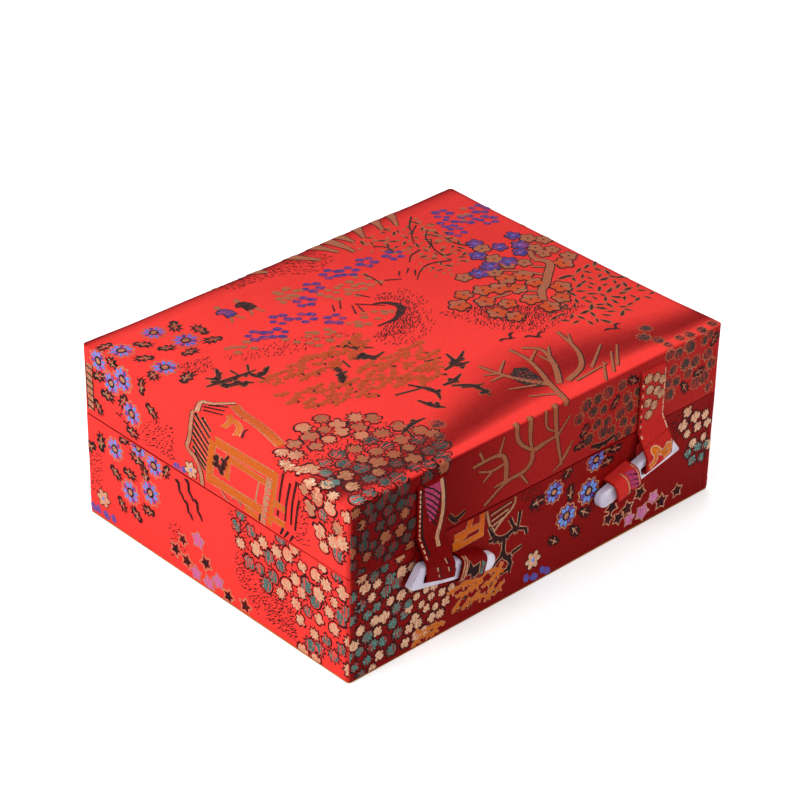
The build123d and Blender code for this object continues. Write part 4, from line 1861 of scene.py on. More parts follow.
@dataclass
class TopPattern(Vignettes):
    """The pattern over the lid's top, laid out as the photograph shows it."""

    def weave(self) -> None:
        """Weaves all of it."""
        self.left_corner()
        self.middle()
        self.right_side()
        self.front_edge()

    def left_corner(self) -> None:
        """Daisies, figures, the pavilion's roof and the crowd of leaves."""
        top = Panel.TOP
        self.daisies(top, [(-67, 59), (-83.5, 56.5), (-62, 47), (-79.5, 37.5)],
            [(-58.5, 57.5), (-53.5, 49.5), (-54.5, 41), (-66, 40), (-70.5, 47.5), (-75, 55), (-81, 47),
            (-86, 62.5), (-86, 36), (-78, 27.5)])
        self.figure_pair(top, (-39.5, 50))
        self.stipple(top, [(-76, 36), (-62.5, 33.5), (-67, 25.5), (-76, 27)])
        self.thorns(top, [[(-77, 18), (-70.5, 17), (-63.5, 16), (-56.5, 15.5)],
            [(-66.5, 25), (-69, 20.5), (-71.5, 18)], [(-73.5, 22.5), (-70.5, 18.5)],
            [(-63.5, 21), (-63.5, 16.5)], [(-56.5, 20), (-59, 16.5)],
            [(-70.5, 17), (-71.5, 14), (-66, 12), (-62.5, 9.5)],
            [(-60, 15.5), (-59.5, 11.5), (-55, 12), (-51.5, 14.5)], [(-59, 11.5), (-58, 8)]])
        self.lines(top, Shade.BEIGE, [[(-89.6, 8.4), (-84.2, 12.7), (-83.4, 8.7), (-76.2, 3.2)]], 1.8, 1.2,
            edge=0.35)
        self.lines(top, Shade.BLACK, [[(-87.5, 7.5), (-84.5, 0.5)], [(-86, 9), (-82.5, 2)],
            [(-84, 8.5), (-80, 3)]], 0.8, 0.6)
        self.lines(top, Shade.ORANGE, [[(-77.5, 2.5), (-79.3, -2.4), (-79.5, -13.5), (-82.3, -27)]], 2.6,
            3.2, edge=0.45, under=Shade.TAN)
        self.lines(top, Shade.ORANGE, [[(-89.5, -5.3), (-85.2, -4.6), (-83, -1)],
            [(-89.5, -12), (-85, -9.5), (-83.9, -4)]], 2.0, 1.6, edge=0.3, under=Shade.TAN)
        self.lines(top, Shade.BLACK, [[(-89, -14.5), (-86, -12), (-84.2, -12)], [(-81, -5), (-78, -9.5)]],
            0.8, 0.6)
        self.leaves(top, TANS + TANS + BEIGES, [(-88, -28), (-76, -24.5), (-64.5, -18.5), (-51.5, -29),
            (-42.5, -40), (-64.5, -41), (-91.5, -41)], 6.9, 3.6, 31)
        self.leaves(top, TEALS + TEALS + TANS, [
            (-88, -41), (-64.5, -41), (-42.5, -40), (-37.5, -53.5), (-46, -73), (-88, -73),
        ], 6.8, 3.6, 32)
        self.stipple(top, [(-86, -30), (-50, -30), (-40, -52), (-46, -66), (-86, -66)], 1.6, 34)
        self.leaves(top, BEIGES + TANS, [(-93, -32), (-86, -32), (-86, -66), (-93, -66)], 6.9, 3.3, 33)

    def middle(self) -> None:
        """Drifting petals, the dark mound and the orange clouds."""
        top, cloth = Panel.TOP, self.cloth
        centres = ((-41, 33), (-34.5, 29.5), (-27.3, 36.2), (-19.6, 31), (-12.3, 39.8), (-12.7, 23.3),
            (-3.2, 46.1), (8.5, 49.1), (14.5, 46.2), (24.4, 47.1), (35.7, 44.3), (68.3, 49), (72, 56),
            (66, 42), (82.3, 41), (86, 49.6), (76.5, 46.5))
        for number, (x, y) in enumerate(centres):
            angles = number * 0.9 + np.arange(5) * 2 * math.pi / 5
            spots = np.column_stack([x + 3.0 * np.cos(angles), y + 2.9 * np.sin(angles)])
            cloth.sow(top, Motif.PETAL, spots, 1.75, -42.0, 0.16, 41 + number)
        cloth.sow(top, Motif.CRUMB, [(-12.7 + 3.2 * math.cos(k * 1.257), 48.2 + 3.2 * math.sin(k * 1.257))
                                     for k in range(5)], 1.7, None, 0.1, 61)
        crumbs = [[(-19, 44), (-19, 53), (-8, 53), (-8, 44)], [(-7.5, 41), (20.5, 43), (19.5, 31), (0, 30)],
            [(-55.5, 33), (-45.5, 33), (-46.5, 26), (-54, 26)],
            [(-36.5, 24.5), (-17, 22), (-18, 13), (-32, 13)],
            [(-11.5, 19), (4, 20.5), (8.5, 13.5), (-10.5, 10)], [(76, 52), (84, 56), (78, 46), (74, 46)],
            [(56, 52), (64, 56), (60, 38), (54, 40)]]
        for number, region in enumerate(crumbs):
            cloth.sow(top, Motif.CRUMB, sown(region, 4.0, 50 + number, 0.24), 1.6, -42.0, 0.2, 60 + number)
        ridge = [(5, 22.1), (8.5, 20.6), (11.1, 16.7), (10.9, 13.6), (9, 11.8), (5.6, 9.6), (2.7, 8.8),
            (-4.5, 9.4)]
        cloth.stroke(top, Shade.BLACK, ridge, 0.9, 0.8, belly=2.2)
        self.stipple(top, [(-13, 4.5), (-2.5, 8.0), (9, 9.5), (14, 18.5), (7, 24), (11, 27), (16, 24),
            (17, 12), (10, 2), (0, -1)], 1.0, 71)
        self.stipple(top, [(-13, 3), (2, 6), (16, 14), (17, 25), (21, 26), (23, 13.5), (14, -2), (0, -9.5),
                           (-11.5, -3.5)], 1.7, 72)
        self.stipple(top, [(-29.5, 70), (15.5, 70), (18, 57), (7.5, 53), (-10.5, 62.5), (-25.5, 63.5)], 1.5,
            73, -50)
        self.stipple(top, [(-60.5, 31), (-47.5, 27.5), (-36, 25), (-18, 16), (-13, 9.5), (-28.5, 13),
            (-41, 15.5), (-56.5, 23)], 1.7, 74)
        self.thorns(top, [[(-25, 9), (-21, 4.5), (-16, -0.5)], [(-22.5, 5.5), (-19.5, 8)],
            [(-27, 0.5), (-24, -1.5), (-22, -2), (-20, -6), (-15, -5)],
            [(-33.5, 0), (-36, -6), (-39, -9.5), (-40.5, -12.5)], [(-37.5, -7.5), (-33.5, -6)],
            [(-30, 0), (-31, -5)]])
        self.clouds(top, [(-60, 12), (-38.5, 11.5), (-13.5, 11.5), (-14, 2), (-41, -2.5), (-58, 2)], 81,
            4.4)
        self.clouds(top, [(-28.5, -7), (-2.5, -5), (-1.5, -25), (-13, -33), (-31.5, -24.5), (-40, -20)], 82,
            4.6)
        self.clouds(top, [(-62, -2), (-44, -6), (-34, -14), (-38, -24), (-50, -20), (-60, -14)], 83, 4.8)

    def right_side(self) -> None:
        """Willow sprays, the blossom tree and the field of seeds."""
        top, cloth = Panel.TOP, self.cloth
        self.lines(top, Shade.BLACK, [[(49, 27.5), (41, 31.5), (34.5, 29), (29.5, 25)],
            [(61.5, 62.5), (55, 57), (52.5, 52)], [(58, 56), (51.5, 52), (47.5, 45.5)],
            [(51.5, 40.5), (54, 47), (59, 50.5)], [(46, 41), (40, 40), (36.5, 36.5)],
            [(49.5, 32), (50, 38.5), (55, 44.5)], [(61.5, 31.5), (59, 36.5), (59.5, 41.5)],
            [(34.5, 54.5), (38.5, 50.5), (37, 45.5)], [(17.5, 41), (18, 34), (16.5, 30)],
            [(20, 32.5), (25.5, 29)], [(29, 34), (26.5, 31.5)], [(33, 33.5), (30, 31)],
            [(34, 31), (31, 27.5)], [(-9, 27.5), (-6.5, 31.5)], [(-6, 27.5), (-2.5, 32)],
            [(-4.5, 21), (-1.5, 26.5)], [(-1.5, 20), (0, 25)], [(0, 26.5), (7.5, 18.5)],
            [(5, 31.5), (7.5, 26.5)]], 0.75, 0.45)
        cloth.sow(top, Motif.CRUMB, sown([(20.5, 62.5), (64, 62.5), (64, 27.5), (49, 18.5), (36, 20),
            (34, 31), (40, 39)], 4.4, 91, 0.3), 0.95, None, 0.3, 92)
        cloth.sow(top, Motif.SEED, sown([(30, 62), (64, 60), (62, 30), (50, 20), (38, 22), (42, 40)], 4.6,
            93, 0.3), 1.9, None, 0.3, 94)
        self.lines(top, Shade.TAN, [[(26.5, 56), (26.5, 62.5), (24, 72)], [(13, 60), (9, 66), (5, 72)],
            [(31.5, 62), (31, 67), (29.5, 72)], [(36.5, 62), (38.5, 67), (40.5, 72)],
            [(22, 60), (19.5, 67), (16.5, 72)], [(-7.5, 66), (-13, 72)], [(46, 62), (48, 67.5), (49, 72)],
            [(52.5, 61), (56, 67.5), (57, 72)]], 1.4, 4.2, edge=0.4)
        self.lines(top, Shade.TAN, [[(75.7, 3.7), (71.8, 7.2)],
            [(67, -2.5), (64, 2.4), (61.4, 6.4), (57, 10)], [(57, -10.5), (54, -7.7)],
            [(48, -4.6), (44, -4.2), (40, -2.8)], [(68.5, 4.5), (71.6, 0.7)]], 1.2, 0.8, edge=0.35)
        cloth.sow(top, Motif.BROWN_BLOSSOM, [(83.2, 20.7), (87, 16.1), (83.9, 8.5), (79, 8.5), (85, 1),
            (61.8, 17.6), (68.2, 8.1), (62.5, 10.9), (64, 26.3), (43.5, 15), (54.4, 10), (79.9, 13.5)], 3.3,
            None, 0.1, 23)
        self.blossom_tree(top, [(76.3, 13.3), (72.8, 7.8), (76, 3.4), (74.6, 0.3), (68.2, -4), (62.5, -8.7),
            (57.5, -10.8), (53.5, -16.3)], [(79.4, -1.7), (54.3, 3.9), (60.8, 1.4), (60.5, -4.7), (42, 3.4),
            (47.5, 0.5), (52.4, -4.2), (34.2, 5.5), (27.7, 1.1), (36.7, -3.1), (41.8, -9.7), (50.3, -12.9),
            (65.5, -13.6), (59.5, -19.5), (51.9, -21.2), (34.2, -11.9), (37.2, -18)],
            [(64.7, 30.7), (80.2, 25.7), (70, 22.8), (77, 18.8), (59, 23.4), (56.8, 14.6), (50, 13.4),
            (64.3, 12.6), (73, 14.8)])
        self.stipple(top, [(18, 3), (30, -2), (46, -15), (60, -22), (62, -30), (37, -33), (25.5, -21.5)],
            1.3, 95)
        self.stipple(top, [(26, 0), (34, -2), (50, -20), (58, -26), (38, -27), (30, -16)], 1.15, 96)
        cloth.sow(top, Motif.SEED, sown([(42.5, -26), (54, -22.5), (68, -9.5), (76, -6.5), (89.5, -6.5),
            (89.5, -41), (58, -42.5), (46, -33.5)], 4.3, 97, 0.26), 2.5, None, 0.25, 98)
        cloth.sow(top, Motif.BIRD, [(25, -27.5), (33, -33), (58, -47.5)], 4.4, [10, -12, 4], 0.05)

    def front_edge(self) -> None:
        """Dark coral, the bare tree with its nest and the last leaves."""
        top = Panel.TOP
        self.thorns(top, [[(-9, -19.5), (-2.5, -21)], [(0.5, -20.5), (-1.5, -29), (3, -29.5)],
            [(-7.5, -28), (0, -27), (6.5, -23)], [(-15, -35), (-10.5, -35.5), (-5, -33.5)],
            [(-13, -37), (-7.5, -41), (-6.5, -45.5), (-7.5, -51)], [(-10.5, -41), (-3.5, -43.5)],
            [(-28.5, -36.5), (-27, -43), (-24.5, -46)], [(-32, -29), (-20.5, -32)],
            [(-47, -48.5), (-41, -46), (-34.5, -46.5)], [(-46, -53.5), (-44, -47)],
            [(-24, -27), (-19, -36), (-22, -41)]])
        self.cloth.sow(top, Motif.OLIVE_LEAF, [(-34, -52), (-39, -58), (61, -59), (66, -55), (63.5, -64)],
            2.9, None, 0.2, 101)
        self.cloth.shape(top, Shade.BLACK, np.array([(6.4, -46.5), (11.5, -42.8), (15, -45.5), (14, -53.5),
            (11.5, -59), (7.5, -57), (6, -51)]), 0.05)
        nest = sown([(6.4, -46.5), (11.5, -43), (14.6, -45.5), (13.6, -53.5), (11.5, -58.5), (8, -56.5),
            (6.4, -51)], 1.9, 102, 0.15)
        self.cloth.sow(top, Motif.TEAL_LEAF, nest, 0.85, None, 0.1, 103)
        self.bare_tree(top, [[(9.5, -72), (13, -59), (16.5, -51), (19.5, -42), (19, -33)],
            [(13, -59), (8, -51), (5, -43), (3, -34)],
            [(16, -61), (22, -53.5), (26.5, -45.5), (28, -39.5), (23, -35)],
            [(19.5, -61.5), (29.5, -59), (35.5, -52), (38.5, -44.5), (40.5, -35.5)]],
            [[(38.5, -44.5), (42.5, -39)], [(19.5, -43), (26, -39.5)], [(5, -42), (0, -39.5)],
            [(5, -42), (12.5, -37)], [(26.5, -45.5), (31, -40.5)], [(5.5, -44), (-1, -44)],
            [(22, -63.5), (38.5, -62.5)], [(32, -61), (46, -52)], [(40, -66), (50, -56)],
            [(9.5, -56.5), (0, -52)], [(36, -68), (45, -58)], [(30, -70), (38, -61)], [(12, -66), (2, -60)],
            [(24, -52), (24, -42)]])
        self.leaves(top, [Motif.OLIVE_LEAF], [(62, -66), (88, -64), (88, -73), (62, -73)], 5.6, 2.6, 104)


@dataclass
class LidWallPattern(Vignettes):
    """The pattern of the lid's four walls."""

    def weave(self) -> None:
        """Weaves all of it."""
        self.front()
        self.left()
        self.unseen(Panel.BACK)
        self.unseen(Panel.RIGHT)

    def front(self) -> None:
        """Leaves on the left, a bare tree and outlined leaves on the right."""
        face = Panel.FRONT
        self.leaves(face, TEALS + TEALS + TANS, [(-91, 70), (-61, 70), (-60, 43), (-91, 43)], 5.9, 3.0, 111)
        self.bare_tree(face, [[(4.5, 72), (5, 63.5), (6.5, 54.5), (9, 45)],
            [(-7.5, 72), (-7.5, 62), (-6, 57)], [(-6.5, 57), (0, 58), (6, 58.5)],
            [(-6, 57), (-6, 52.5), (-10.5, 50), (-18, 50.5), (-28.5, 44.5)],
            [(-18.5, 50.5), (-18.5, 59), (-22, 63), (-34.5, 62.5)], [(-14, 72), (-14, 64), (-7, 58)]],
            [[(-18.5, 58), (-25.5, 57), (-31.5, 59.5)], [(-25.5, 57), (-29.5, 54.5)],
            [(-11.5, 50), (-7.5, 44.5)], [(13, 51.5), (9.5, 46.5), (5, 44)], [(-22, 63), (-20, 68.5)],
            [(0, 71), (0, 63.5), (5, 60.5)], [(-31.5, 67), (-29.5, 63)], [(-18, 50.5), (-24, 50)],
            [(6, 58), (12, 64)], [(9, 47), (14, 53)]])
        for region in ([(14, 67), (50, 68.5), (50, 44), (20.5, 44.5), (15, 54.5)],
                       [(62, 69.5), (88.5, 69.5), (88.5, 45.5), (62, 45.5)]):
            self.leaves(face, [Motif.OLIVE_LEAF, Motif.OLIVE_LEAF, Motif.OLIVE_LEAF, Motif.NIGHT_LEAF],
                region, 6.2, 3.0, 112)
        self.coral(face, [[(-45, 48), (-42.5, 44.5), (-37.5, 46.5)], [(24, 46), (30, 44.5), (36, 46)]])

    def left(self) -> None:
        """Daisies, the striped roof, the pavilion's frame and leaves."""
        face = Panel.LEFT
        self.daisies(face, [(-54, 61.5), (-61, 67.5), (-47.5, 66), (-43, 54)],
            [(-61, 61.5), (-56.5, 55.5), (-47.5, 57), (-37, 68), (-53.5, 70), (-43, 46.5), (-31.5, 60.5),
            (-62, 48)])
        self.stipple(face, [(-36.5, 56), (-20, 60), (-19, 45.5), (-38, 44.5)], 1.5, 113)
        self.lines(face, Shade.TAN, [[(-9.4, 71), (-10.4, 65.5), (-11.3, 58.5), (-13.4, 54.8), (-8.4, 52.6),
            (-5.6, 48.3), (-4.9, 43)]], 1.7, 1.9, edge=0.4)
        self.lines(face, Shade.BLACK, [[(-8.0, 70.5), (-0.4, 64.2)], [(-8.9, 67.8), (-1.0, 61.4)],
            [(-9.2, 65), (-1.4, 58.9)], [(-9.4, 62.3), (-1.8, 56.6)], [(-9.6, 59.5), (-2.2, 54.2)],
            [(-9.6, 56.8), (-2.6, 52)], [(-8.6, 54.6), (-3.2, 50)], [(-4.6, 70.6), (0.2, 67)]], 1.2, 0.9,
            edge=0.3, under=Shade.TAN)
        self.lines(face, Shade.ORANGE, [[(1.2, 64), (-0.2, 56.2), (-1.2, 45.8)]], 3.2, 2.8, edge=0.4,
            under=Shade.TAN)
        self.lines(face, Shade.ORANGE, [
            [(2.5, 64.2), (33.4, 64.9)], [(-1.5, 48), (26.9, 48.1)],
        ], 3.2, 3.2, edge=0.45, under=Shade.TAN)
        self.lines(face, Shade.ORANGE, [[(9.8, 60.6), (28, 60.3)], [(9.2, 61.4), (8.2, 51.9)],
            [(33.6, 67), (32.1, 58.2), (29.8, 44.2)], [(33, 54.5), (38.1, 54)],
            [(30.5, 47.9), (38.1, 47.9)], [(17.5, 45), (24.4, 43.8)]], 2.1, 2.1, edge=0.3, under=Shade.TAN)
        self.lines(face, Shade.TAN, [[(24.9, 59.2), (23, 50.3)], [(0.2, 62), (-1, 48)]], 0.8, 0.8)
        self.lines(face, Shade.TAN, [[(30.2, 62.5), (28.7, 54.2), (26.6, 43)]], 3.0, 2.6, edge=0.25,
            under=Shade.RED, rise=0.15)
        self.lines(face, Shade.RED, [[(27.4 + 0.42 * k, 45.6 + 2.6 * k),
            (29.6 + 0.4 * k, 45.2 + 2.6 * k)] for k in range(6)], 0.45, 0.45, rise=0.18)
        self.lines(face, Shade.BLACK, [[(37.3, 68.5), (35.8, 61.8), (35, 55.8)], [(34.6, 52.4), (34.2, 50)],
            [(40.6, 66), (38.6, 57.6), (38.1, 49.8)], [(37.2, 46.6), (35.6, 43.4)],
            [(43.9, 68.3), (41.5, 59), (41, 49.8)], [(39.8, 46.4), (37.6, 43)],
            [(45.1, 61.5), (43.9, 56.4), (43.1, 48.6)], [(42.2, 46), (40.5, 43)],
            [(25.5, 46.4), (25, 43.2)]], 1.1, 0.8)
        self.thorns(face, [[(3.6, 59.2), (3, 56.2), (3.7, 54.3)],
            [(9.4, 61.6), (6.6, 57.6), (5.5, 54.4), (6.5, 52.8)]])
        self.lines(face, Shade.TAN, [[(5, 45.4), (7, 44), (9, 43.2)],
            [(10.6, 45.8), (13.6, 47), (15.5, 44.4)]], 0.9, 0.6, edge=0.25)
        self.stipple(face, [(44, 66), (50, 66), (50, 45), (43, 45)], 1.4, 114)
        self.leaves(face, BEIGES + TANS + TEALS,
            [(41, 71), (71, 71), (71, 43.5), (63.5, 43.5), (52, 48), (49, 57)], 7.0, 3.4, 115)
        self.lines(face, Shade.TAN, [[(-66.5, 64), (-66.8, 55), (-66.3, 45)]], 3.4, 3.0, edge=0.5)
        self.lines(face, Shade.BLACK, [[(-68.6, 46.5 + 2.7 * k),
            (-64.8, 45.6 + 2.7 * k)] for k in range(7)], 0.7, 0.6, rise=0.16)
        self.cloth.sow(face, Motif.BEIGE_FLOWER, [(-11, 46.3)], 3.5, 20.0, 0.0)
        self.cloth.sow(face, Motif.PETAL, [(-19, 43.8), (-15.5, 44)], 2.0, 40.0, 0.0)
        self.cloth.sow(face, Motif.BIRD, [(-50, 50), (-46, 48.5)], 2.2, 20.0, 0.0)

    def unseen(self, face: Panel) -> None:
        """The faces that the photograph doesn't show carry more of the same.

        Args:
            face: the face.
        """
        reach = 82.0 if face is Panel.BACK else 62.0
        self.leaves(face, TEALS + TANS + BEIGES,
            [(-reach, 70), (-reach + 30, 70), (-reach + 24, 44), (-reach, 44)], 6.6, 3.3, 116)
        self.daisies(face, [(-24, 62), (-12, 52), (-2, 64), (10, 55)],
            [(-30, 54), (-18, 58), (-6, 57), (4, 58), (4, 48), (17, 62), (-20, 48)])
        self.bare_tree(face, [[(30, 44), (32, 54), (28, 64), (30, 72)], [(32, 54), (40, 60), (44, 70)]],
                       [[(40, 60), (48, 61)], [(29, 62), (22, 66)], [(32, 56), (24, 54)]])
        self.cloth.sow(face, Motif.SEED, sown([(50, 68), (reach, 68), (reach, 46), (52, 46)], 4.4, 117,
            0.22), 2.1, 60, 0.15)


@dataclass
class BaseWallPattern(Vignettes):
    """The pattern of the base's four walls."""

    def weave(self) -> None:
        """Weaves all of it."""
        self.front()
        self.left()
        self.unseen(Panel.BACK)
        self.unseen(Panel.RIGHT)

    def front(self) -> None:
        """Leaves, the pavilion's eaves, black coral, daisies and stars."""
        face = Panel.FRONT
        self.leaves(face, TEALS + TEALS + BEIGES,
            [(-91, 42), (-63.5, 42), (-62.5, 33.5), (-63, 19.5), (-67, 1), (-91, 1)], 5.9, 3.0, 121)
        self.leaves(face, BEIGES, [(-63.5, 42), (-57, 33), (-47.5, 22), (-39, 14.5), (-47.5, 9), (-58, 1),
            (-67, 1), (-63, 19.5)], 5.0, 2.55, 122)
        self.lines(face, Shade.ORANGE, [[(-34.5, 43), (-36, 36.5), (-43, 34.5)],
            [(-42.5, 37.5), (-28, 37.5)], [(-43, 33.2), (-28.5, 33.5)], [(-29, 43), (-29.5, 32.5)],
            [(-60, 38), (-55, 35)]], 2.1, 1.8, edge=0.3, under=Shade.TAN)
        self.lines(face, Shade.TAN, [[(-27, 43), (-26, 36), (-23, 31.5)],
            [(-13.5, 43), (-13, 38.5), (-20, 34.5), (-23.5, 31.5)]], 1.2, 1.0, edge=0.3)
        self.lines(face, Shade.TAN, [[(-25, 41.5), (-15, 42.5)], [(-25, 39), (-15, 40.3)],
            [(-24.5, 36.5), (-16.5, 38)], [(-24, 34.3), (-19, 35.5)]], 0.8, 0.8, edge=0.4)
        self.coral(face, [
            [(-25.5, 34.5), (-23, 28.5), (-18, 26.5), (-13, 28.5), (-7.5, 26)],
            [(-18, 26.5), (-18.5, 19.5), (-14, 15.5), (-15, 10.5)], [(-25.5, 28.5), (-22, 28.5)],
            [(-15.5, 33.5), (-13, 28.5)], [(-10.5, 34.5), (-11.5, 28.5)], [(-18.5, 20), (-23, 17)],
            [(-14, 18.5), (-9, 19.5)], [(-20.5, 12), (-15, 12.5)], [(-7.5, 26), (-7, 23.5)],
        ])
        self.clouds(face, [(-43, 18.5), (-16.5, 19), (-18, 4), (-41, 7)], 123, 4.4)
        self.clouds(face, [(-59, 9), (-47.5, 7), (-49, 2), (-59, 2)], 124, 4.2)
        self.daisies(face, [(6, 35), (27, 39.5), (24, 27.5), (13, 22), (19, 42.5)],
            [(-2, 34.5), (13, 41), (14.5, 31), (32, 41.5), (37, 40), (22.5, 19.5), (18, 13.5), (7, 14),
            (33, 36)])
        self.cloth.sow(face, Motif.BEIGE_FLOWER, [(-3, 10.5)], 3.9, 0.0, 0.0)
        self.cloth.sow(face, Motif.PETAL, [(-6, 4.2), (-2, 3.0), (2, 4.0), (4.5, 2.6)], 2.0, None, 0.1)
        self.cloth.sow(face, Motif.NIGHT_STAR, [(37, 15), (52, 14.5), (41, 8.5), (72.5, 6.5), (35.5, 10.5),
            (45.5, 10.5), (64, 5.5)], 3.1, None, 0.12, 125)
        self.cloth.sow(face, Motif.PINK_STAR, [(47, 5.2), (54, 5.2), (59.5, 9.3)], 3.4, None, 0.1, 126)
        self.leaves(face, BEIGES, [(69.5, 42), (80, 42), (89.5, 30), (89.5, 19.5), (80, 20), (71.5, 28.5)],
            6.2, 2.9, 127)
        self.leaves(face, TEALS, [(76, 22), (89, 22), (89, 11), (79.5, 13)], 6.0, 2.8, 128)
        self.stipple(face, [(-12, 42), (0, 42), (0, 30), (-4, 30)], 1.5, 129)
        self.stipple(face, [(62, 40), (74, 40), (70, 26), (60, 30)], 1.6, 130)

    def left(self) -> None:
        """Daisies, small birds, stars and a crowd of leaves."""
        face = Panel.LEFT
        self.daisies(face, [(-53.5, 34.5), (-31.5, 38), (-34, 25.5), (-45.5, 20), (-40, 41.5)],
            [(-61.5, 33.5), (-41, 36.2), (-45.5, 28), (-53.5, 24.5), (-50.5, 12.5), (-42.5, 12),
            (-35.5, 17), (-24.5, 39), (-48, 41), (-68.5, 28.5), (-36.5, 31.5)])
        self.stipple(face, [(-70, 29), (-60, 29), (-63, 10), (-70, 10)], 1.7, 131)
        self.cloth.sow(face, Motif.COMMA, [(-17.5, 35.2), (-12.3, 37.6), (-12.9, 29), (-7.6, 31.6)], 3.0,
            [-20, -25, -16, -22], 0.05)
        self.cloth.sow(face, Motif.BEIGE_FLOWER, [(-61.5, 9.5)], 3.7, 0.0, 0.0)
        self.cloth.sow(face, Motif.PETAL, [(-64.5, 3.5), (-60, 3.0), (-56, 3.4), (-67.5, 3)], 2.0, None,
            0.1)
        self.cloth.sow(face, Motif.NIGHT_STAR, [(-16.5, 14.5), (-20.5, 8.5), (-14.5, 6.5), (-4, 11),
            (17, 3.8), (8, 3.2)], 3.0, None, 0.12, 132)
        self.cloth.sow(face, Motif.PINK_STAR, [(-8, 18.5), (2.5, 6.5), (-9.5, 4), (-2.5, 3.2)], 3.3, None,
            0.1, 133)
        self.stipple(face, [(-24, 18), (-18, 20), (-14, 10), (-24, 4)], 1.6, 134)
        self.stipple(face, [(8, 41), (15, 42), (20, 28.5), (22.5, 17), (26, 14), (24, 4), (12.5, 14),
            (12, 30)], 1.3, 135)
        self.stipple(face, [(24, 19), (42, 17), (44, 3), (28, 4)], 1.1, 136)
        self.leaves(face, BEIGES + TEALS, [(13.5, 42), (71, 42), (71, 1), (43, 1), (40, 15), (20, 20),
            (12.5, 32.5)], 7.0, 3.4, 137)

    def unseen(self, face: Panel) -> None:
        """The faces that the photograph doesn't show carry more of the same.

        Args:
            face: the face.
        """
        reach = 88.0 if face is Panel.BACK else 68.0
        self.leaves(face, BEIGES + TEALS, [(-reach, 42), (-reach + 26, 42), (-reach + 34, 2), (-reach, 2)],
            6.6, 3.3, 141)
        self.coral(face, [[(-22, 30), (-14, 26), (-6, 30), (0, 26)], [(-14, 26), (-12, 16), (-16, 8)],
                          [(-12, 18), (-5, 16)], [(-18, 34), (-16, 27)]])
        self.clouds(face, [(-30, 16), (-18, 14), (-20, 4), (-34, 5)], 142, 4.4)
        self.daisies(face, [(12, 34), (26, 30), (18, 20)],
            [(6, 28), (20, 38), (33, 36), (28, 20), (10, 16), (20, 10)])
        self.cloth.sow(face, Motif.NIGHT_STAR, [(40, 10), (48, 14), (34, 6)], 3.0, None, 0.1, 143)
        self.cloth.sow(face, Motif.PINK_STAR, [(43, 5), (53, 7)], 3.2, None, 0.1, 144)
        self.leaves(face, BEIGES + TEALS, [(reach - 26, 42), (reach, 42), (reach, 8), (reach - 14, 8)], 6.6,
            3.3, 145)


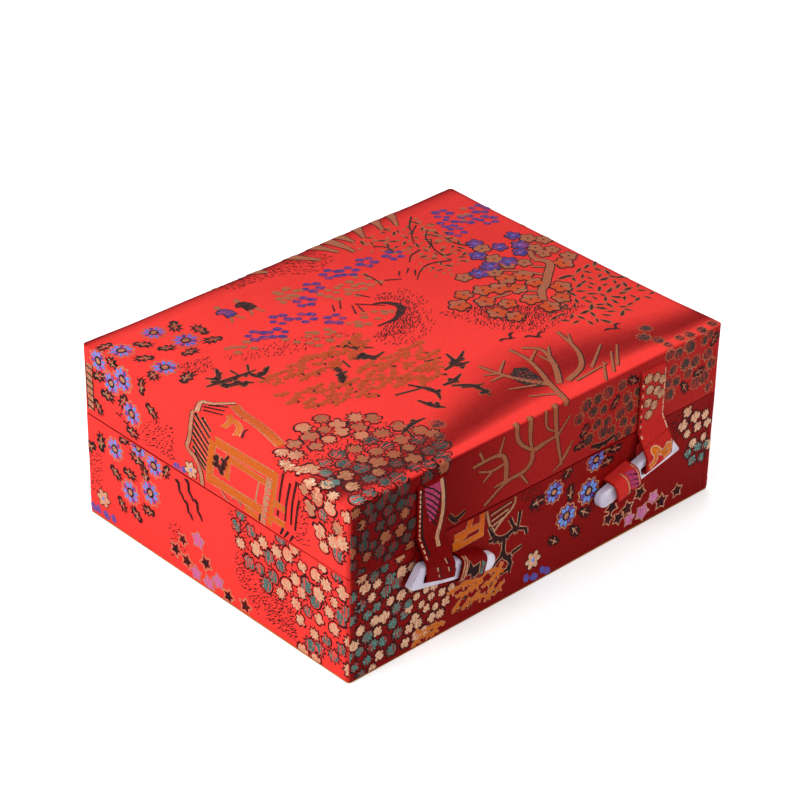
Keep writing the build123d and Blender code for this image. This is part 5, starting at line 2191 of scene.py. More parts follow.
@dataclass
class Box:
    """The covered card: both brocades with their patterns. Sizes are in millimetres."""

    card_edge: float = 0.46
    off_rim: float = 0.5
    cloth: float = 0.5
    glued_in: float = 11.0
    base_turned: tuple[float, float, float] = (3.5, 8.5, 10.0)

    def __post_init__(self) -> None:
        """Takes the main sizes from the frame, in millimetres."""
        low, high = (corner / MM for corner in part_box("lid_brocade"))
        base_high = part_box("base_brocade")[1] / MM
        self.half = (round(high.x, 3), round(high.y, 3))
        self.top = round(high.z, 3)
        self.lid_rim, self.base_rim = self.top - low.z, self.top - base_high.z
        self.seam = (low.z + base_high.z) / 2
        self.underside = self.top - self.card_edge

    def wraps(self) -> tuple[Wrap, Wrap]:
        """How the lid's cloth and the base's cloth go round their card.

        Returns:
            The lid's and the base's.
        """
        edge, turn, lid_wall, base_wall, foot_edge = 0.22, 8.5, 3.2, 4.0, 0.35

        def round_rim(level: float, way: float, wall: float) -> tuple[Point, ...]:
            """From the outside round the rim to the end of the turned-in border.

            Args:
                level: the rim's drop below the top.
                way: 1 for a rim below the cloth and -1 for one above.
                wall: the card's thickness.

            Returns:
                Pairs of inset and drop.
            """
            return (
                (0.0, level - way * edge), (0.134 * edge, level - way * 0.5 * edge),
                (0.5 * edge, level - way * 0.134 * edge), (edge, level), (wall - 0.4, level),
                (wall - 0.12, level - way * 0.12), (wall, level - way * 0.4), (wall, level - way * turn),
            )

        lid = Wrap(self.half, self.top, True, (), round_rim(self.lid_rim, 1.0, lid_wall),
            seam_level=self.seam)
        under = self.underside
        foot = ((0.0, under - foot_edge), (0.29 * foot_edge, under - 0.29 * foot_edge), (foot_edge, under),
            (10.0, under))
        base = Wrap(self.half, self.top, False, tuple(reversed(round_rim(self.base_rim, -1.0, base_wall))),
            foot, seam_level=self.seam)
        return lid, base

    def lines(self, wrap: Wrap, half: float) -> Array:
        """Where the ground's mesh is cut, across one side.

        Args:
            wrap: how the cloth lies.
            half: half the size across that side.

        Returns:
            The cuts, from end to end.
        """
        inner = np.arange(0.0, half - 4.5, 2.5)
        lap = half - wrap.fold_from_corner + np.linspace(-1.2, 1.2, 9)
        corner = half - np.array([0.15, 0.4, 0.7, 1.0, 1.3])
        bends = [wrap.rim_out[0][1] + run_lengths(wrap.rim_out)]
        if wrap.rim_in:
            bends.append(wrap.rim_in[-1][1] - run_lengths(wrap.rim_in)[-1] + run_lengths(wrap.rim_in))
        bends = np.concatenate(bends)
        walls = np.arange(max(wrap.first(), 0.0), wrap.last(), 1.2)
        clear = np.abs(walls[:, None] - bends[None, :]).min(axis=1) > 0.25
        past = half + np.concatenate([walls[clear], bends, [0.0]] if wrap.has_top else [walls[clear],
            bends])
        positive = np.unique(np.round(np.concatenate([inner, lap, corner, [half], past]), 3))
        return np.concatenate([-positive[:0:-1], positive])

    def ground(self, name: str, wrap: Wrap) -> bpy.types.Object:
        """The satin ground of one cloth, as a closed sheet of its real thickness.

        Args:
            name: the piece's name.
            wrap: how the cloth lies.

        Returns:
            The piece, with its thickness.
        """
        across, along = self.lines(wrap, self.half[0]), self.lines(wrap, self.half[1])
        grid_x, grid_y = np.meshgrid(across, along, indexing="ij")
        past_x, past_y = np.abs(grid_x) - self.half[0], np.abs(grid_y) - self.half[1]
        near = 1e-6
        if wrap.has_top:
            there = ~((past_x > near) & (past_y > near))
        else:
            first = wrap.first() - near
            there = ((past_x >= first) & (past_y <= near)) | ((past_y >= first) & (past_x <= near))
        index = np.full(grid_x.shape, -1)
        index[there] = np.arange(there.sum())
        quads = np.stack([index[:-1, :-1], index[1:, :-1], index[1:, 1:], index[:-1, 1:]],
            axis=-1).reshape(-1, 4)
        quads = quads[quads.min(axis=1) >= 0]
        flat = np.column_stack([grid_x[there], grid_y[there], np.zeros(there.sum())])
        points, normals = wrap.wrap(flat)
        made = mesh_object(name, points, quads.tolist(), SatinGround().material())
        # painted sheen and shade of the satin ground
        numbers(made, "glow", painted_ground_light(points, normals, self.seam))
        tidy_mesh(made, 2e-6)
        return thicken(made, self.cloth)

    def build(self) -> None:
        """Builds both cloths and weaves their patterns."""
        scatter = Scatter()
        lid_wrap, base_wrap = self.wraps()
        wall = self.lid_rim + self.glued_in
        top_length = 2 * (self.half[0] + wall), 2 * (self.half[1] + wall)
        lid = self.ground("lid_brocade_cover", lid_wrap)
        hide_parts("lid_brocade")
        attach(lid, "lid")
        area = (top_length[0] * top_length[1] - 4 * wall ** 2) * MM * MM
        cloth = Cloth("lid", lid_wrap, 0.0, self.lid_rim - self.off_rim, scatter)
        for pattern in (TopPattern, LidWallPattern):
            pattern(cloth).weave()
        threads = cloth.weave("lid")
        top_length[1] * MM
        top_length[0] * MM
        base = self.ground("base_brocade_cover", base_wrap)
        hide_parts("base_brocade")
        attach(base, "base")
        cloth = Cloth("base", base_wrap, self.base_rim + self.off_rim, self.underside - self.off_rim,
            scatter)
        BaseWallPattern(cloth).weave()
        threads = cloth.weave("base")
        girth = 4 * (self.half[0] + self.half[1])
        height = self.underside - self.base_rim + sum(self.base_turned)
        height * MM
        girth * MM
        LOG.info("brocades: lid and base, with %d pattern threads", len(threads))


def rounded_path(points: Sequence[Sequence[float]], radius: float, steps: int = 5) -> Array:
    """A bent line with round corners.

    Args:
        points: its corners.
        radius: of each corner.
        steps: points along each round.

    Returns:
        The line's points, as many for any corners.
    """
    line = np.asarray(points, float)
    found = [line[:1]]
    for before, corner, after in zip(line[:-2], line[1:-1], line[2:]):
        back, ahead = before - corner, after - corner
        reach = min(np.linalg.norm(back), np.linalg.norm(ahead)) / 2.05
        back, ahead = back / np.linalg.norm(back), ahead / np.linalg.norm(ahead)
        half_angle = math.acos(float(np.clip(back @ ahead, -1, 1))) / 2
        cut = min(radius / max(math.tan(half_angle), 1e-3), reach)
        share = np.linspace(0, 1, steps + 1)[:, None]
        found.append((1 - share) ** 2 * (corner + back * cut) + 2 * share * (1 - share) * corner
                     + share ** 2 * (corner + ahead * cut))
    found.append(line[-1:])
    return np.vstack(found)


@dataclass
class Ribbon:
    """A ribbon of brocade along a path that is given for each place across it, in millimetres."""

    path: Callable[[float], Array]
    low: float
    high: float
    thickness: float = 0.7
    columns: int = 15
    step: float = 1.2

    def line(self, place: float) -> Array:
        """The path at one place, with points about a step apart and as many at every place.

        Args:
            place: where across the ribbon, in millimetres.

        Returns:
            The line's points.
        """
        middle = self.path((self.low + self.high) / 2)
        gaps = np.linalg.norm(np.diff(middle, axis=0), axis=1)
        counts = np.maximum(1, np.ceil(gaps / self.step)).astype(int)
        given = self.path(place)
        found = [given[:1]]
        for start, end, count in zip(given[:-1], given[1:], counts):
            found.append(start + (end - start) * (np.arange(1, count + 1) / count)[:, None])
        return np.vstack(found)

    def length(self) -> float:
        """How long the ribbon is, in millimetres."""
        return float(run_lengths(self.path((self.low + self.high) / 2))[-1])

    def sheet(self, name: str, glow: float, first: int = 0, last: int | None = None) -> bpy.types.Object:
        """The closed ribbon, or a stretch of it.

        Args:
            name: the piece's name.
            glow: how bright its painted satin sheen is.
            first: where on the path the stretch starts.
            last: where it ends.

        Returns:
            The piece, still riding on nothing.
        """
        lines = [self.line(place)[first:last] for place in np.linspace(self.low, self.high, self.columns)]
        length = len(lines[0])
        points = np.vstack(lines)
        made = mesh_object(name, points * MM, grid_faces(self.columns, length), SatinGround().material())
        # painted shade along the ribbon's two side edges
        edge = np.minimum(np.arange(self.columns), np.arange(self.columns)[::-1])
        numbers(made, "glow", np.repeat(np.where(edge == 0, glow * 0.6, glow), length))
        thicken(made, self.thickness, 0.0)
        return made

    def over(self, place: float, along: float, height: float) -> Array:
        """A point over the ribbon's outer face.

        Args:
            place: where across the ribbon, in millimetres.
            along: the distance along the path.
            height: above the ribbon's face.

        Returns:
            The point, in millimetres.
        """
        line, beside = self.path(place), self.path(place + 0.2)
        gone = run_lengths(line)

        def at(distance: float, path: Array) -> Array:
            """The path's point at a distance."""
            return np.array([np.interp(distance, gone, path[:, axis]) for axis in range(3)])

        here = at(along, line)
        run = at(along + 0.3, line) - at(along - 0.3, line)
        out = np.cross(run, at(along, beside) - here)
        return here + out / max(float(np.linalg.norm(out)), 1e-9) * (self.thickness / 2 + height)

    def threads(self, name: str, shade: Shade, outlines: Sequence[Array], rise: float = 0.1,
                glow: float = 0.9) -> bpy.types.Object:
        """Woven plates on the ribbon's outer side.

        Args:
            name: the piece's name.
            shade: their thread.
            outlines: closed outlines of places across and distances along the path.
            rise: how far they stand out.
            glow: how far their colour is painted from shaded to lit.

        Returns:
            The piece, still riding on nothing.
        """
        work = bmesh.new()
        for outline in outlines:
            points, faces = plate(outline, rise)
            flat = bpy.data.meshes.new("flat")
            flat.from_pydata(points.tolist(), [], faces)
            work.from_mesh(flat)
            bpy.data.meshes.remove(flat)
        bounds = np.vstack(list(outlines))
        for level in np.arange(math.floor(bounds[:, 1].min()), bounds[:, 1].max(), 0.7):
            slice_mesh(work, (0, level, 0), (0, 1, 0), 0.001)
        for vertex in work.verts:
            vertex.co = Vector(self.over(*vertex.co)) * MM
        made = mesh_object(name, np.zeros((0, 3)), [], shade.value.material(), False)
        work.to_mesh(made.data)
        work.free()
        made.data.shade_flat()
        numbers(made, "glow", np.full(len(made.data.vertices), glow))
        return made


@dataclass
class Clasp:
    """One strap, its peg's finish and its loop. The left one mirrors the right one."""

    side: str
    tilt: float = math.radians(15.5)
    middle: Point = (45.8, 28.2)
    strap_x: float = 54.0
    strap_width: float = 13.0
    loop_along: float = -7.472
    loop_width: float = 12.0
    face_y: float = -70.0
    panel_starts: float = 38.0
    slit_z: float = 66.1
    off_face: float = 0.55
    off_front: float = 5.85
    fold_radius: float = 1.1
    bow: float = 0.28

    @property
    def way(self) -> int:
        """-1 for the left clasp and 1 for the right one."""
        return -1 if self.side == "left" else 1

    def peg_width(self, along: float) -> float:
        """The peg's width at a distance from its middle towards its head."""
        return 6.6 + 2.4 * (along / 41.0 + 0.5)

    def strap_path(self, place: float) -> Array:
        """The strap's line at one place along the box, from its root under the foam to its tail.

        Args:
            place: where across the ribbon, in millimetres.

        Returns:
            The line's points.
        """
        slope = math.cos(self.tilt)
        away = (abs(place) - self.middle[0]) / slope
        axis = self.middle[1] + away * math.sin(self.tilt)
        rail = axis + self.peg_width(away) / 2 / slope
        fold = axis - 1.9 / slope + self.off_face
        near, far = self.off_face, self.off_front
        corners = [(-9.0, self.slit_z), (near, self.slit_z), (near, rail + 9.0), (far, rail + 0.2),
            (far, fold), (near, fold), (near, rail + 4.0)]
        line = rounded_path(corners, self.fold_radius)
        across = (abs(place) - self.strap_x + self.strap_width / 2) / self.strap_width
        bow = self.bow * math.sin(math.pi * across)
        out = line[:, 0] + bow * ((line[:, 0] > 0.5) & (line[:, 0] < 5.7))
        return np.column_stack([np.full(len(line), place), self.face_y - out, line[:, 1]])

    def loop_path(self, place: float) -> Array:
        """The loop's line at one place along the peg.

        Args:
            place: where across the ribbon, in millimetres.

        Returns:
            The line's points.
        """
        along = self.way * place
        reach = self.peg_width(self.loop_along + self.loop_width / 2) / 2 + self.off_face
        line = rounded_path([(reach, -3.0), (reach, self.off_front), (-reach, self.off_front),
            (-reach, -3.0)], 2.6, 8)
        c, s = math.cos(self.tilt), math.sin(self.tilt)
        x = self.middle[0] + along * c - line[:, 0] * s
        z = self.middle[1] + along * s + line[:, 0] * c
        return np.column_stack([self.way * x, self.face_y - line[:, 1], z])

    def strap(self) -> Ribbon:
        """The strap as a ribbon."""
        middle, half = self.way * self.strap_x, self.strap_width / 2
        return Ribbon(self.strap_path, middle - half, middle + half)

    def loop(self) -> Ribbon:
        """The loop as a ribbon."""
        middle, half = self.way * self.loop_along, self.loop_width / 2
        return Ribbon(self.loop_path, middle - half, middle + half, step=0.9)

    def build(self) -> None:
        """Builds the clasp."""
        for slot in bpy.data.objects[f"{self.side}_peg"].material_slots:
            slot.material = PegPlastic().material()
        strap = self.strap()
        line = strap.line(strap.low + 1.0)
        cut = int(np.argmax((line[:, 2] < self.panel_starts) & (line[:, 1] < self.face_y)))
        # painted shade: the left strap's satin is painted darker than the right one's
        glow = 0.14 if self.side == "left" else 0.5
        root = strap.sheet(f"{self.side}_strap_root", glow, 0, cut + 1)
        panel = strap.sheet(f"{self.side}_strap_panel", glow, cut)
        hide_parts(f"{self.side}_strap")
        made: dict[str, list[bpy.types.Object]] = {"root": [], "panel": []}
        for number, (part, shade, outlines, rise) in enumerate(self.strap_motifs(strap)):
            name = f"{self.side}_strap_{shade.name.lower()}_{number}"
            made[part].append(strap.threads(name, shade, outlines, rise))
        for piece in (root, *made["root"]):
            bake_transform(piece)
        for piece in (panel, *made["panel"]):
            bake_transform(piece)
        share = float(run_lengths(line[:cut + 1])[-1])
        (strap.length() - share) * MM
        self.build_loop()
        LOG.info("%s clasp: strap, peg and loop", self.side)

    def build_loop(self) -> None:
        """Builds the loop that holds the peg."""
        loop = self.loop()
        # painted shade: the left loop's satin is painted darker than the right one's
        made = loop.sheet(f"{self.side}_loop_ribbon", 0.16 if self.side == "left" else 0.6)
        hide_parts(f"{self.side}_loop")
        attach(made, "base")
        threads = [loop.threads(f"{self.side}_loop_{shade.name.lower()}_{number}", shade, outlines, rise)
                   for number, (shade, outlines, rise) in enumerate(self.loop_motifs(loop))]
        for piece in threads:
            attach(piece, "base")
        loop.length() * MM

    def strap_motifs(self, strap: Ribbon) -> list[tuple[str, Shade, list[Array], float]]:
        """What the cut of cloth happened to have on the strap: part, thread, outlines and height.

        Args:
            strap: the strap.

        Returns:
            Part, thread, outlines and height of each.
        """
        line = strap.path(strap.low + 1.0)
        gone = run_lengths(line)
        front = (line[:, 1] < self.face_y - 0.3) & (np.arange(len(line)) < len(line) - 8)

        def level(z: float) -> float:
            """The distance along the strap where its front reaches a height."""
            return float(np.interp(-z, -line[front, 2], gone[front]))

        if self.side == "left":
            return self.left_strap(strap.low, strap.high, level)
        return self.right_strap(strap.low, strap.high, level)

    def left_strap(self, low: float, high: float, level: Callable[[float], float]) -> list:
        """Magenta rays beside a tan trunk, and gold dots down one edge.

        Args:
            low: the strap's left edge.
            high: its right edge.
            level: turns a height into a distance along the strap.

        Returns:
            Part, thread, outlines and height of each.
        """
        fan = []
        for step in range(9):
            for column in range(3):
                rows = []
                for z in (64.8 - 1.55 * step, 63.1 - 1.55 * step):
                    left = low + 2.7 + 0.012 * (65 - z) ** 2
                    reach = (high - 2.9 - 0.014 * (65 - z) ** 2 - left) / 3
                    rows.append([(left + reach * column, level(z)),
                        (left + reach * (column + 1) + 0.05, level(z))])
                fan.append(np.array([rows[0][0], rows[0][1], rows[1][1], rows[1][0]]))
        rays = [ribbon(np.array([(low + 2.6 + 0.35 * k, level(63.8 - 2.5 * k)),
            (low + 6.5, level(60.6 - 2.5 * k)), (low + 10.2 - 0.45 * k, level(56.6 - 2.2 * k))]), 0.5,
            0.7) for k in range(-1, 5)]
        middle = ((2.8, 65.4), (1.8, 60), (1.5, 54), (2.4, 49), (3.8, 45), (5.2, 40.5))
        trunk = ribbon(smooth_line([(high - x, level(z)) for x, z in middle]), 1.5, 1.9)
        shadow = ribbon(smooth_line([(high - x + 1.15, level(z)) for x, z in middle]), 0.5, 0.6)
        edge = [ribbon(np.array([(low + 0.8, level(z)), (low + 0.9, level(z - 1.2))]), 0.6, 0.5)
                for z in np.arange(64.8, 39.5, -1.9)]
        ticks = [ribbon(np.array([(low + x, level(z)), (low + x + 0.5, level(z - 1.8))]), 0.7, 0.5)
                 for x, z in ((4.5, 34.8), (8.6, 36.4), (5.2, 31.6), (9.6, 32.8))]
        dark = ribbon(np.array([(low + 1.6, level(65)), (low + 1.8, level(52)), (low + 2.6, level(39.5))]),
            0.7, 0.9)
        return [("root", Shade.MAGENTA, fan, 0.08), ("root", Shade.BLACK, [shadow, dark], 0.06),
            ("root", Shade.BLACK, rays, 0.11), ("root", Shade.TAN, [trunk], 0.13),
            ("root", Shade.BEIGE, edge, 0.12), ("panel", Shade.TAN, ticks, 0.1),
            ("panel", Shade.BLACK, [tick + (0.9, 0.5) for tick in ticks], 0.07)]

    def right_strap(self, low: float, high: float, level: Callable[[float], float]) -> list:
        """Tan leaves near the top, an orange scroll at the bottom and gold down one edge.

        Args:
            low: the strap's left edge.
            high: its right edge.
            level: turns a height into a distance along the strap.

        Returns:
            Part, thread, outlines and height of each.
        """
        leaves, under = [], []
        places = ((3.2, 63.5), (7.4, 62.5), (10.8, 60.5), (4.2, 58.6), (8.0, 56.8), (3.6, 53.4),
            (7.0, 51.2), (10.4, 54.6), (4.4, 48.2))
        for number, (x, z) in enumerate(places):
            shape = turned(FAN, number * 1.3) * 2.0
            under.append(shape * 1.2 + (low + x, level(z)))
            leaves.append(shape + (low + x, level(z)))
        gold = [ribbon(np.array([(high - 0.8, level(z)), (high - 0.85, level(z - 2.6))]), 0.5, 0.5)
                for z in np.arange(64.6, 33, -3.1)]
        dotted = [ribbon(np.array([(low + 0.9, level(z)), (low + 0.9, level(z - 1.1))]), 0.7, 0.6)
                  for z in np.arange(64, 39, -2.1)]
        scroll = smooth_line([(low + x, level(z)) for x,
            z in ((1.3, 29.8), (4.0, 31.0), (4.6, 33.6), (3.2, 35.2), (4.8, 36.0), (6.4, 34.0), (8.4, 32.8),
            (9.4, 34.8), (11.2, 35.6), (11.8, 33.0), (8.2, 31.4))])
        return [("root", Shade.BLACK, under + dotted[::2], 0.06), ("root", Shade.TAN, leaves, 0.12),
            ("root", Shade.BEIGE, gold[:8] + dotted[1::2], 0.12),
            ("panel", Shade.BEIGE, [ribbon(scroll, 2.5, 2.3)], 0.07),
            ("panel", Shade.ORANGE, [ribbon(scroll, 1.6, 1.4)], 0.12), ("panel", Shade.TAN, gold[9:], 0.1)]

    def loop_motifs(self, loop: Ribbon) -> list[tuple[Shade, list[Array], float]]:
        """What shows on the loop.

        Args:
            loop: the loop.

        Returns:
            Thread, outlines and height of each.
        """
        low, high, middle = loop.low, loop.high, loop.length() / 2
        if self.side == "left":
            blotch = np.array([(3.2, -3.4), (5.4, -1.0), (8.2, -2.4), (8.8, 1.6), (6.0, 3.6), (5.0, 1.2),
                               (2.8, 1.8)]) + (low, middle)
            centre = blotch.mean(axis=0)
            ribs = [ribbon(np.array([(low + x, middle - 5.5), (low + x - 0.2, middle + 5.5)]), 0.7, 0.7)
                    for x in (0.9, 2.1)]
            leaf = np.array([(-2.6, -3), (-0.8, -2), (-1.0, 2), (-2.4, 2.6)]) + (high, middle)
            return [(Shade.TAN, [grown(blotch - centre, 0.5) + centre, *ribs], 0.07),
                    (Shade.BLACK, [blotch], 0.12), (Shade.TEAL, [leaf], 0.1)]
        edges = [ribbon(np.array([(high - 6.6, middle - 6.5), (high - 6.0, middle),
            (high - 7.0, middle + 6.5)]), 0.6, 0.6),
            ribbon(np.array([(high - 0.9, middle - 6.5), (high - 0.8, middle + 6.5)]), 0.5, 0.5)]
        fan = np.array([(high - 5.4, middle - 5.6), (high - 1.4, middle - 4.4), (high - 1.3, middle + 4.6),
                        (high - 5.2, middle + 1.0)])
        wedges = [np.array([(high - 5.6, middle - 4.6 + 2.3 * step),
            (high - 1.4, middle - 2.9 + 2.3 * step),
            (high - 1.4, middle - 2.2 + 2.3 * step)]) for step in range(3)]
        dark = np.array([(high - 5.8, middle + 1.8), (high - 1.6, middle + 5.2),
            (high - 4.8, middle + 5.8)])
        return [(Shade.TAN, edges, 0.12), (Shade.MAGENTA, [fan], 0.08),
            (Shade.BLACK, [*wedges, dark], 0.11)]


@dataclass
class HingeCloth:
    """The strip of brocade that is glued over the back seam and is the hinge."""

    pattern: Scatter
    pinch: float = 0.10
    pinch_reach: float = 0.9
    corner: float = 2.0
    margin: float = 4.5

    def dip(self, above: Array) -> Array:
        """How far the cloth sinks into the seam, at a height above it."""
        return self.pinch * np.exp(-(above / self.pinch_reach) ** 2)

    def build(self) -> None:
        """Builds the strip, which dips into the seam."""
        self.low, self.high = (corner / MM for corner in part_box("hinge_cloth"))
        self.middle = (self.low.z + self.high.z) / 2
        half = (self.high.z - self.low.z) / 2
        half_x = self.high.x
        near_end = half_x - np.array([0.0, 0.15, 0.5, 1.0, 1.5, 2.0])
        xs = np.unique(np.concatenate([np.linspace(-half_x + 4, half_x - 4, 56), near_end, -near_end]))
        steps = np.concatenate([np.linspace(-half, -3, 9), np.linspace(-2.4, 2.4, 17),
            np.linspace(3, half, 9)])
        into = np.clip(np.abs(xs) - (half_x - self.corner), 0, None)
        share = 1 - (self.corner - np.sqrt(self.corner ** 2 - into ** 2)) / half
        grid_x, grid_z = np.meshgrid(xs, steps, indexing="ij")
        grid_z = grid_z * share[:, None]
        y = self.high.y - 0.02 - self.dip(grid_z)
        points = np.column_stack([grid_x.ravel(), y.ravel(), grid_z.ravel() + self.middle])
        faces = grid_faces(len(xs), len(steps))
        made = mesh_object("hinge_strip", points * MM, faces, SatinGround().material())
        # painted shade: the strip's satin is painted dark all over
        numbers(made, "glow", np.full(len(points), 0.08))
        thicken(made, self.high.y - self.low.y - 0.06)
        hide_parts("hinge_cloth")
        threads = [self.leaves(shade) for shade in (Shade.BLACK, Shade.TEAL, Shade.BEIGE)]
        for piece in (made, *threads):
            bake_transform(piece)
        LOG.info("hinge cloth: one strip")

    def leaves(self, shade: Shade) -> bpy.types.Object:
        """One thread of the leaves on the strip.

        Args:
            shade: the thread.

        Returns:
            The piece, riding on nothing yet.
        """
        low, high = self.low, self.high
        left, right = low.x + self.margin, high.x - self.margin
        bottom, top = low.z + self.margin, high.z - self.margin
        spots = sown([(left, bottom), (right, bottom), (right, top), (left, top)], 8.4, 151, 0.16)
        kinds = np.random.default_rng(152).integers(0, 2, len(spots))
        if shade is not Shade.BLACK:
            spots = spots[kinds == (shade is Shade.TEAL)]
        black = shade is Shade.BLACK
        points, faces = plate(grown(FAN, 0.17) if black else FAN, 0.07 if black else 0.13)
        layer = mesh_object("layer", points, faces, None, False)
        turns = spots[:, 0] * 1.7 + spots[:, 1] * 0.9
        mesh = self.pattern.run(spots, turns, np.full(len(spots), 3.0), layer, shade.value.material())
        bpy.data.objects.remove(layer)
        work = bmesh.new()
        work.from_mesh(mesh)
        for level in np.arange(-2.4, 2.5, 0.4):
            slice_mesh(work, (0, self.middle + float(level), 0), (0, 1, 0), 0.001)
        for vertex in work.verts:
            x, z, rise = vertex.co
            vertex.co = Vector((-x, high.y - 0.02 - float(self.dip(z - self.middle)) + rise, z)) * MM
        work.to_mesh(mesh)
        work.free()
        piece = woven_piece(f"hinge_{shade.value.name}", mesh, shade)
        # painted light: the leaves are painted almost fully lit
        numbers(piece, "glow", np.full(len(mesh.vertices), 0.9))
        return piece


@dataclass
class Pad:
    """A covered pad: flat where it is glued and crowned on its free side, swollen by cloth simulation."""

    name: str
    nodes: tuple[str, ...]
    body: str
    slot: str
    upward: bool
    radius: float = 3.0
    crown: float = 2.6
    inset: float = 0.25
    reach: float = 0.85
    shoulder: float = 0.55
    shoulder_width: float = 2.2
    spare: float = 0.0
    cap: float = 0.5
    fill: float = 0.7
    cells: tuple[int, int] = (49, 39)
    voxel: float = 0.004
    pressure: float = 4.0
    frames: int = 20

    def build(self, finish: Finish) -> bpy.types.Object:
        """Builds the pad in its CAD solids' room.

        Args:
            finish: what covers it.

        Returns:
            The pad.
        """
        boxes = [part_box(node) for node in self.nodes]
        low = Vector([min(box[0][axis] for box in boxes) for axis in range(3)]) / MM
        high = Vector([max(box[1][axis] for box in boxes) for axis in range(3)]) / MM
        side = Vector((self.inset, self.inset, 0))
        self.low, self.high = low + side, high - side
        self.back = self.low.z if self.upward else self.high.z
        made = self.form(finish)
        self.swell(made)
        made.data.shade_smooth()
        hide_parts(*self.nodes)
        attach(made, self.body)
        LOG.info("%s: padded", self.name)
        return made

    def form(self, finish: Finish) -> bpy.types.Object:
        """The pad's shape before it swells.

        Args:
            finish: what covers it.

        Returns:
            The pad, still flat-sided.
        """
        size = self.high - self.low
        half_x, half_y, border = size.x / 2, size.y / 2, size.z - self.crown - self.spare

        def side(count: int, half: float) -> Array:
            """Grid lines that crowd near the edges."""
            share = np.linspace(-1, 1, count)
            return half * np.sign(share) * (1 - (1 - np.abs(share)) ** 1.35)

        grid_x, grid_y = np.meshgrid(side(self.cells[0], half_x), side(self.cells[1], half_y),
            indexing="ij")
        from_edge = np.minimum(half_x - np.abs(grid_x), half_y - np.abs(grid_y))
        crown = self.crown * (1 - (1 - np.clip(from_edge / (half_y * self.reach), 0, 1)) ** 2.6)
        drop = border * self.shoulder * np.clip(1 - from_edge / self.shoulder_width, 0, 1) ** 2
        past_x = np.clip(np.abs(grid_x) - (half_x - self.radius), 0, None)
        past_y = np.clip(np.abs(grid_y) - (half_y - self.radius), 0, None)
        reach = np.maximum(np.hypot(past_x, past_y), 1e-9)
        widest = np.maximum(past_x, past_y)
        round_x = np.where(past_x > 0, np.sign(grid_x) * (half_x - self.radius + past_x * widest / reach),
            grid_x)
        round_y = np.where(past_y > 0, np.sign(grid_y) * (half_y - self.radius + past_y * widest / reach),
            grid_y)
        middle = (self.low + self.high) / 2
        way = 1.0 if self.upward else -1.0
        free = self.back + way * (border + crown - drop)
        columns, rows = self.cells
        count = columns * rows
        upper = np.column_stack([round_x.ravel() + middle.x, round_y.ravel() + middle.y, free.ravel()])
        lower = upper.copy()
        lower[:, 2] = self.back
        quads = [(face[0], *face[:0:-1]) for face in grid_faces(columns, rows)]
        rim = [c * rows for c in range(columns)] + [(columns - 1) * rows + r for r in range(1, rows)]
        rim += [c * rows + rows - 1 for c in range(columns - 2, -1, -1)] + list(range(rows - 2, 0, -1))
        faces = quads + [tuple(count + corner for corner in reversed(quad)) for quad in quads]
        faces += [(a, count + a, count + b, b) for a, b in zip(rim, rim[1:] + rim[:1])]
        if not self.upward:
            faces = [tuple(reversed(face)) for face in faces]
        return mesh_object(self.name, np.vstack([upper, lower]) * MM, faces, finish.material())

    def swell(self, pad: bpy.types.Object) -> None:
        """Lets the cover swell a little by simulation on a copy, and keeps it in its room.

        Args:
            pad: the pad.
        """
        if self.cap == 0:
            return
        copy = placed("swelling", pad.data.copy())
        remesh = copy.modifiers.new("remesh", "REMESH")
        remesh.mode = "VOXEL"
        remesh.voxel_size = self.voxel
        settle(copy)
        start = places(copy.data)
        glued = copy.vertex_groups.new(name="glued")
        glued.add(np.flatnonzero(np.abs(start[:, 2] - self.back * MM) < 0.0012).tolist(), 1.0, "REPLACE")
        cloth = copy.modifiers.new("cloth", "CLOTH")
        cloth.settings.use_pressure = True
        cloth.settings.uniform_pressure_force = self.pressure
        cloth.settings.vertex_group_mass = "glued"
        cloth.settings.effector_weights.gravity = 0.0
        for step in range(1, self.frames + 1):
            bpy.context.scene.frame_set(step)
        move = places(copy.evaluated_get(bpy.context.evaluated_depsgraph_get()).data) - start
        bpy.context.scene.frame_set(1)
        bpy.data.objects.remove(copy)
        length = np.linalg.norm(move, axis=1, keepdims=True)
        move *= np.minimum(1.0, self.cap * MM / np.maximum(length, 1e-9))
        tree = KDTree(len(start))
        for number, point in enumerate(start):
            tree.insert(point, number)
        tree.balance()
        points = places(pad.data)
        moved_points = points.copy()
        for number, point in enumerate(points):
            near = tree.find_n(point, 8)
            weight = np.array([1 / (distance + 0.002) for _, _, distance in near])
            pulls = move[[index for _, index, _ in near]] * weight[:, None]
            moved_points[number] += pulls.sum(axis=0) / weight.sum()
        moved_points = np.clip(moved_points, np.array(self.low) * MM, np.array(self.high) * MM)
        still = np.abs(points[:, 2] - self.back * MM) < 0.0002
        moved_points[still] = points[still]
        move_to(pad.data, moved_points)


def rounded_ring(half: Array, radius: float, arc: int = 6, run: int = 26) -> tuple[Array, Array, Array]:
    """Points anticlockwise round a rectangle with round corners.

    Args:
        half: half its sides.
        radius: of its corners.
        arc: points on each corner.
        run: steps on each side.

    Returns:
        The points, the outward directions, and how far each is along its side, 0 on a corner.
    """
    points, outward, share = [], [], []
    signs = [(1, 1), (-1, 1), (-1, -1), (1, -1)]
    for quarter, sign in enumerate(signs):
        angles = np.linspace(0, math.pi / 2, arc) + quarter * math.pi / 2
        round_out = np.column_stack([np.cos(angles), np.sin(angles)])
        points.append(np.array(sign) * (half - radius) + round_out * radius)
        outward.append(round_out)
        share.append(np.zeros(arc))
        along = np.linspace(0, 1, run + 1)[1:-1, None]
        end = np.array(signs[(quarter + 1) % 4]) * (half - radius) + round_out[-1] * radius
        points.append(points[-1][-1] * (1 - along) + end * along)
        outward.append(np.repeat(round_out[-1:], run - 1, axis=0))
        share.append(along[:, 0])
    return np.vstack(points), np.vstack(outward), np.concatenate(share)


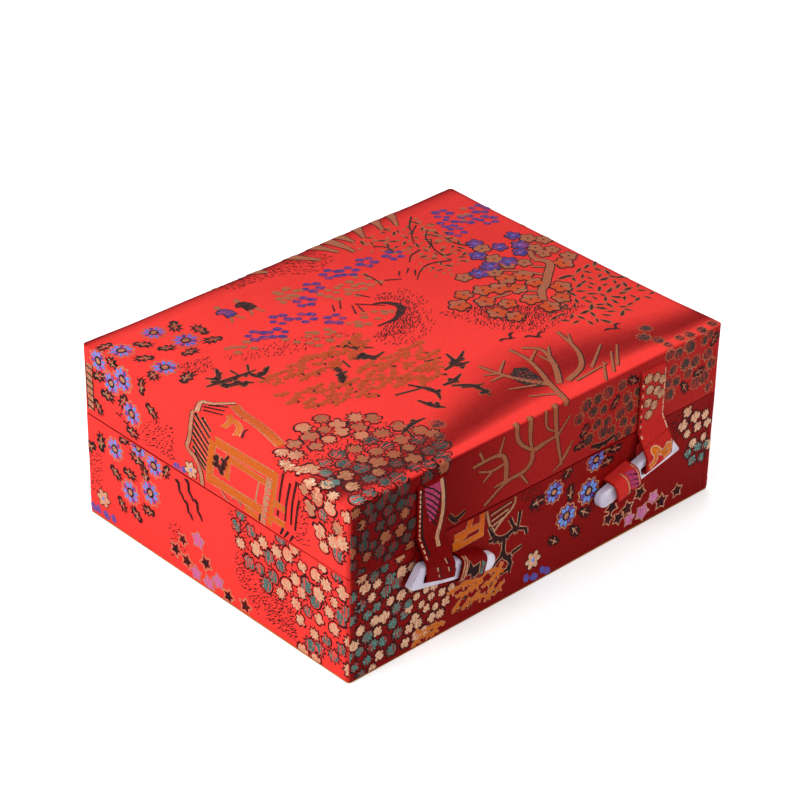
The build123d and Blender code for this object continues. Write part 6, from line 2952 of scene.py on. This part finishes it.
@dataclass
class Inside:
    """The satin and the pads inside, the boards, the card underneath and the foam under the lid's cloth."""

    half: Point = BOX_HALF
    cloth: float = 0.4
    collar_inset: float = 4.0
    well_inset: float = 6.3
    tuck: float = 14.0
    lining_inset: float = 3.1

    def strip(self, name: str, path: Sequence[Point], radius: float, ripple: float) -> bpy.types.Object:
        """A strip of satin round the inside, glued down with slight ripples.

        Args:
            name: the piece's name.
            path: its cut face as (inset from the box's outside, height), with its good side on the left.
            radius: how round its corners are where it is furthest out.
            ripple: how deep the ripples are.

        Returns:
            The strip, with its thickness.
        """
        line = rounded_path(path, 0.5, 3)
        line = np.vstack([line[:1], *[start + (end - start) * np.linspace(0, 1, 5)[1:, None]
                                      for start, end in zip(line[:-1], line[1:])]])
        rings = []
        for inset, z in line:
            bend = max(radius - (inset - line[:, 0].min()), 0.3)
            ring, outward, share = rounded_ring(np.array(self.half) - inset, bend)
            wave = ripple * np.sin(share * 23 + z * 0.3 + outward[:, 0] * 2) * np.sin(share * math.pi)
            rings.append(np.column_stack([ring - outward * np.abs(wave)[:, None], np.full(len(ring), z)]))
        points, count = np.vstack(rings), len(rings[0])
        made = mesh_object(name, points * MM, grid_faces(len(line), count, True), PlainSatin().material())
        return thicken(made, self.cloth)

    def satin(self) -> None:
        """The collar's satin and the lid's lining."""
        low, high = (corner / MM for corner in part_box("collar_satin"))
        path = [(self.collar_inset, high.z - self.tuck), (self.collar_inset, high.z),
            (self.well_inset, high.z), (self.well_inset, low.z + 0.1)]
        collar = self.strip("collar_satin_cover", path, 1.2, 0.0)
        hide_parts("collar_satin")
        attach(collar, "base")
        deep = float(run_lengths(np.array(path))[-1])
        4 * (sum(self.half) - 2 * self.well_inset + 1.2) * MM
        low, high = (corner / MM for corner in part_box("lid_lining"))
        lining = self.strip("lid_lining_cover", [(self.lining_inset, high.z), (self.lining_inset, low.z)],
            1.2, 0.12)
        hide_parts("lid_lining")
        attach(lining, "lid")
        4 * (sum(self.half) - 2 * self.lining_inset) * MM
        LOG.info("inside satin: collar and lining")

    def card(self, finish: Finish) -> None:
        """The gold paper that closes the underside, with only its edge below the brocade.

        Args:
            finish: what covers it.
        """
        levels = [(0.14, Box.card_edge - 0.03), (0.05, Box.card_edge - 0.12), (0.05, 0.1), (0.15, 0.0)]
        rings = [rounded_ring(np.array(self.half) - inset, 1.3, run=8)[0] for inset, _ in levels]
        count = len(rings[0])
        points = np.vstack([np.column_stack([ring, np.full(count, z)]) for ring,
            (_, z) in zip(rings, levels)])
        faces = [face[::-1] for face in grid_faces(len(levels), count, True)]
        faces += [list(range(count)), list(range(4 * count - 1, 3 * count - 1, -1))]
        made = mesh_object("underside_sheet", points * MM, faces, finish.material(), False)
        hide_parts("underside_card")
        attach(made, "base")

    def dress(self, nodes: Iterable[str], finish: Finish) -> None:
        """Gives CAD nodes a finish.

        Args:
            nodes: their names.
            finish: what covers it.
        """
        for node in nodes:
            for slot in bpy.data.objects[node].material_slots:
                slot.material = finish.material()

    def build(self) -> None:
        """Builds the satin and the pads and dresses the boards."""
        self.satin()
        satin = PlainSatin()
        Pad("base_cushion", ("base_cushion_foam", "base_cushion_satin"), "base", "gold_satin",
            True).build(satin)
        Pad("ceiling_cushion", ("lid_ceiling_foam", "lid_ceiling_satin"), "lid", "gold_satin", False,
            radius=2.0, crown=1.8, cap=0.4).build(satin)
        Pad("lid_top_foam", ("lid_foam_pad",), "lid", "foam", True, radius=5.0, crown=2.0, inset=0.8,
            reach=0.35, spare=0.5, cap=0.0, fill=0.8).build(Foam())
        sides = ("front", "back", "left", "right")
        grey = Board("greyboard", linear(150, 142, 130), linear(112, 104, 94))
        self.dress([f"{part}_{side}_board" for part in ("base", "lid") for side in sides], grey)
        self.dress(("base_floor_board", "lid_top_board"), grey)
        card = Board("collar_card", linear(204, 196, 178), linear(170, 160, 140))
        self.dress([f"collar_{side}_board" for side in sides], card)
        self.card(Board("gold_paper", linear(196, 132, 44), linear(160, 96, 24), 0.5))
        LOG.info("boards: dressed")


def main() -> None:
    """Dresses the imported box."""
    Studio().build()
    Box().build()
    HingeCloth(Scatter()).build()
    Inside().build()
    for side in ("left", "right"):
        Clasp(side).build()


if __name__ == "__main__":
    logging.basicConfig(level=logging.INFO)
    main()
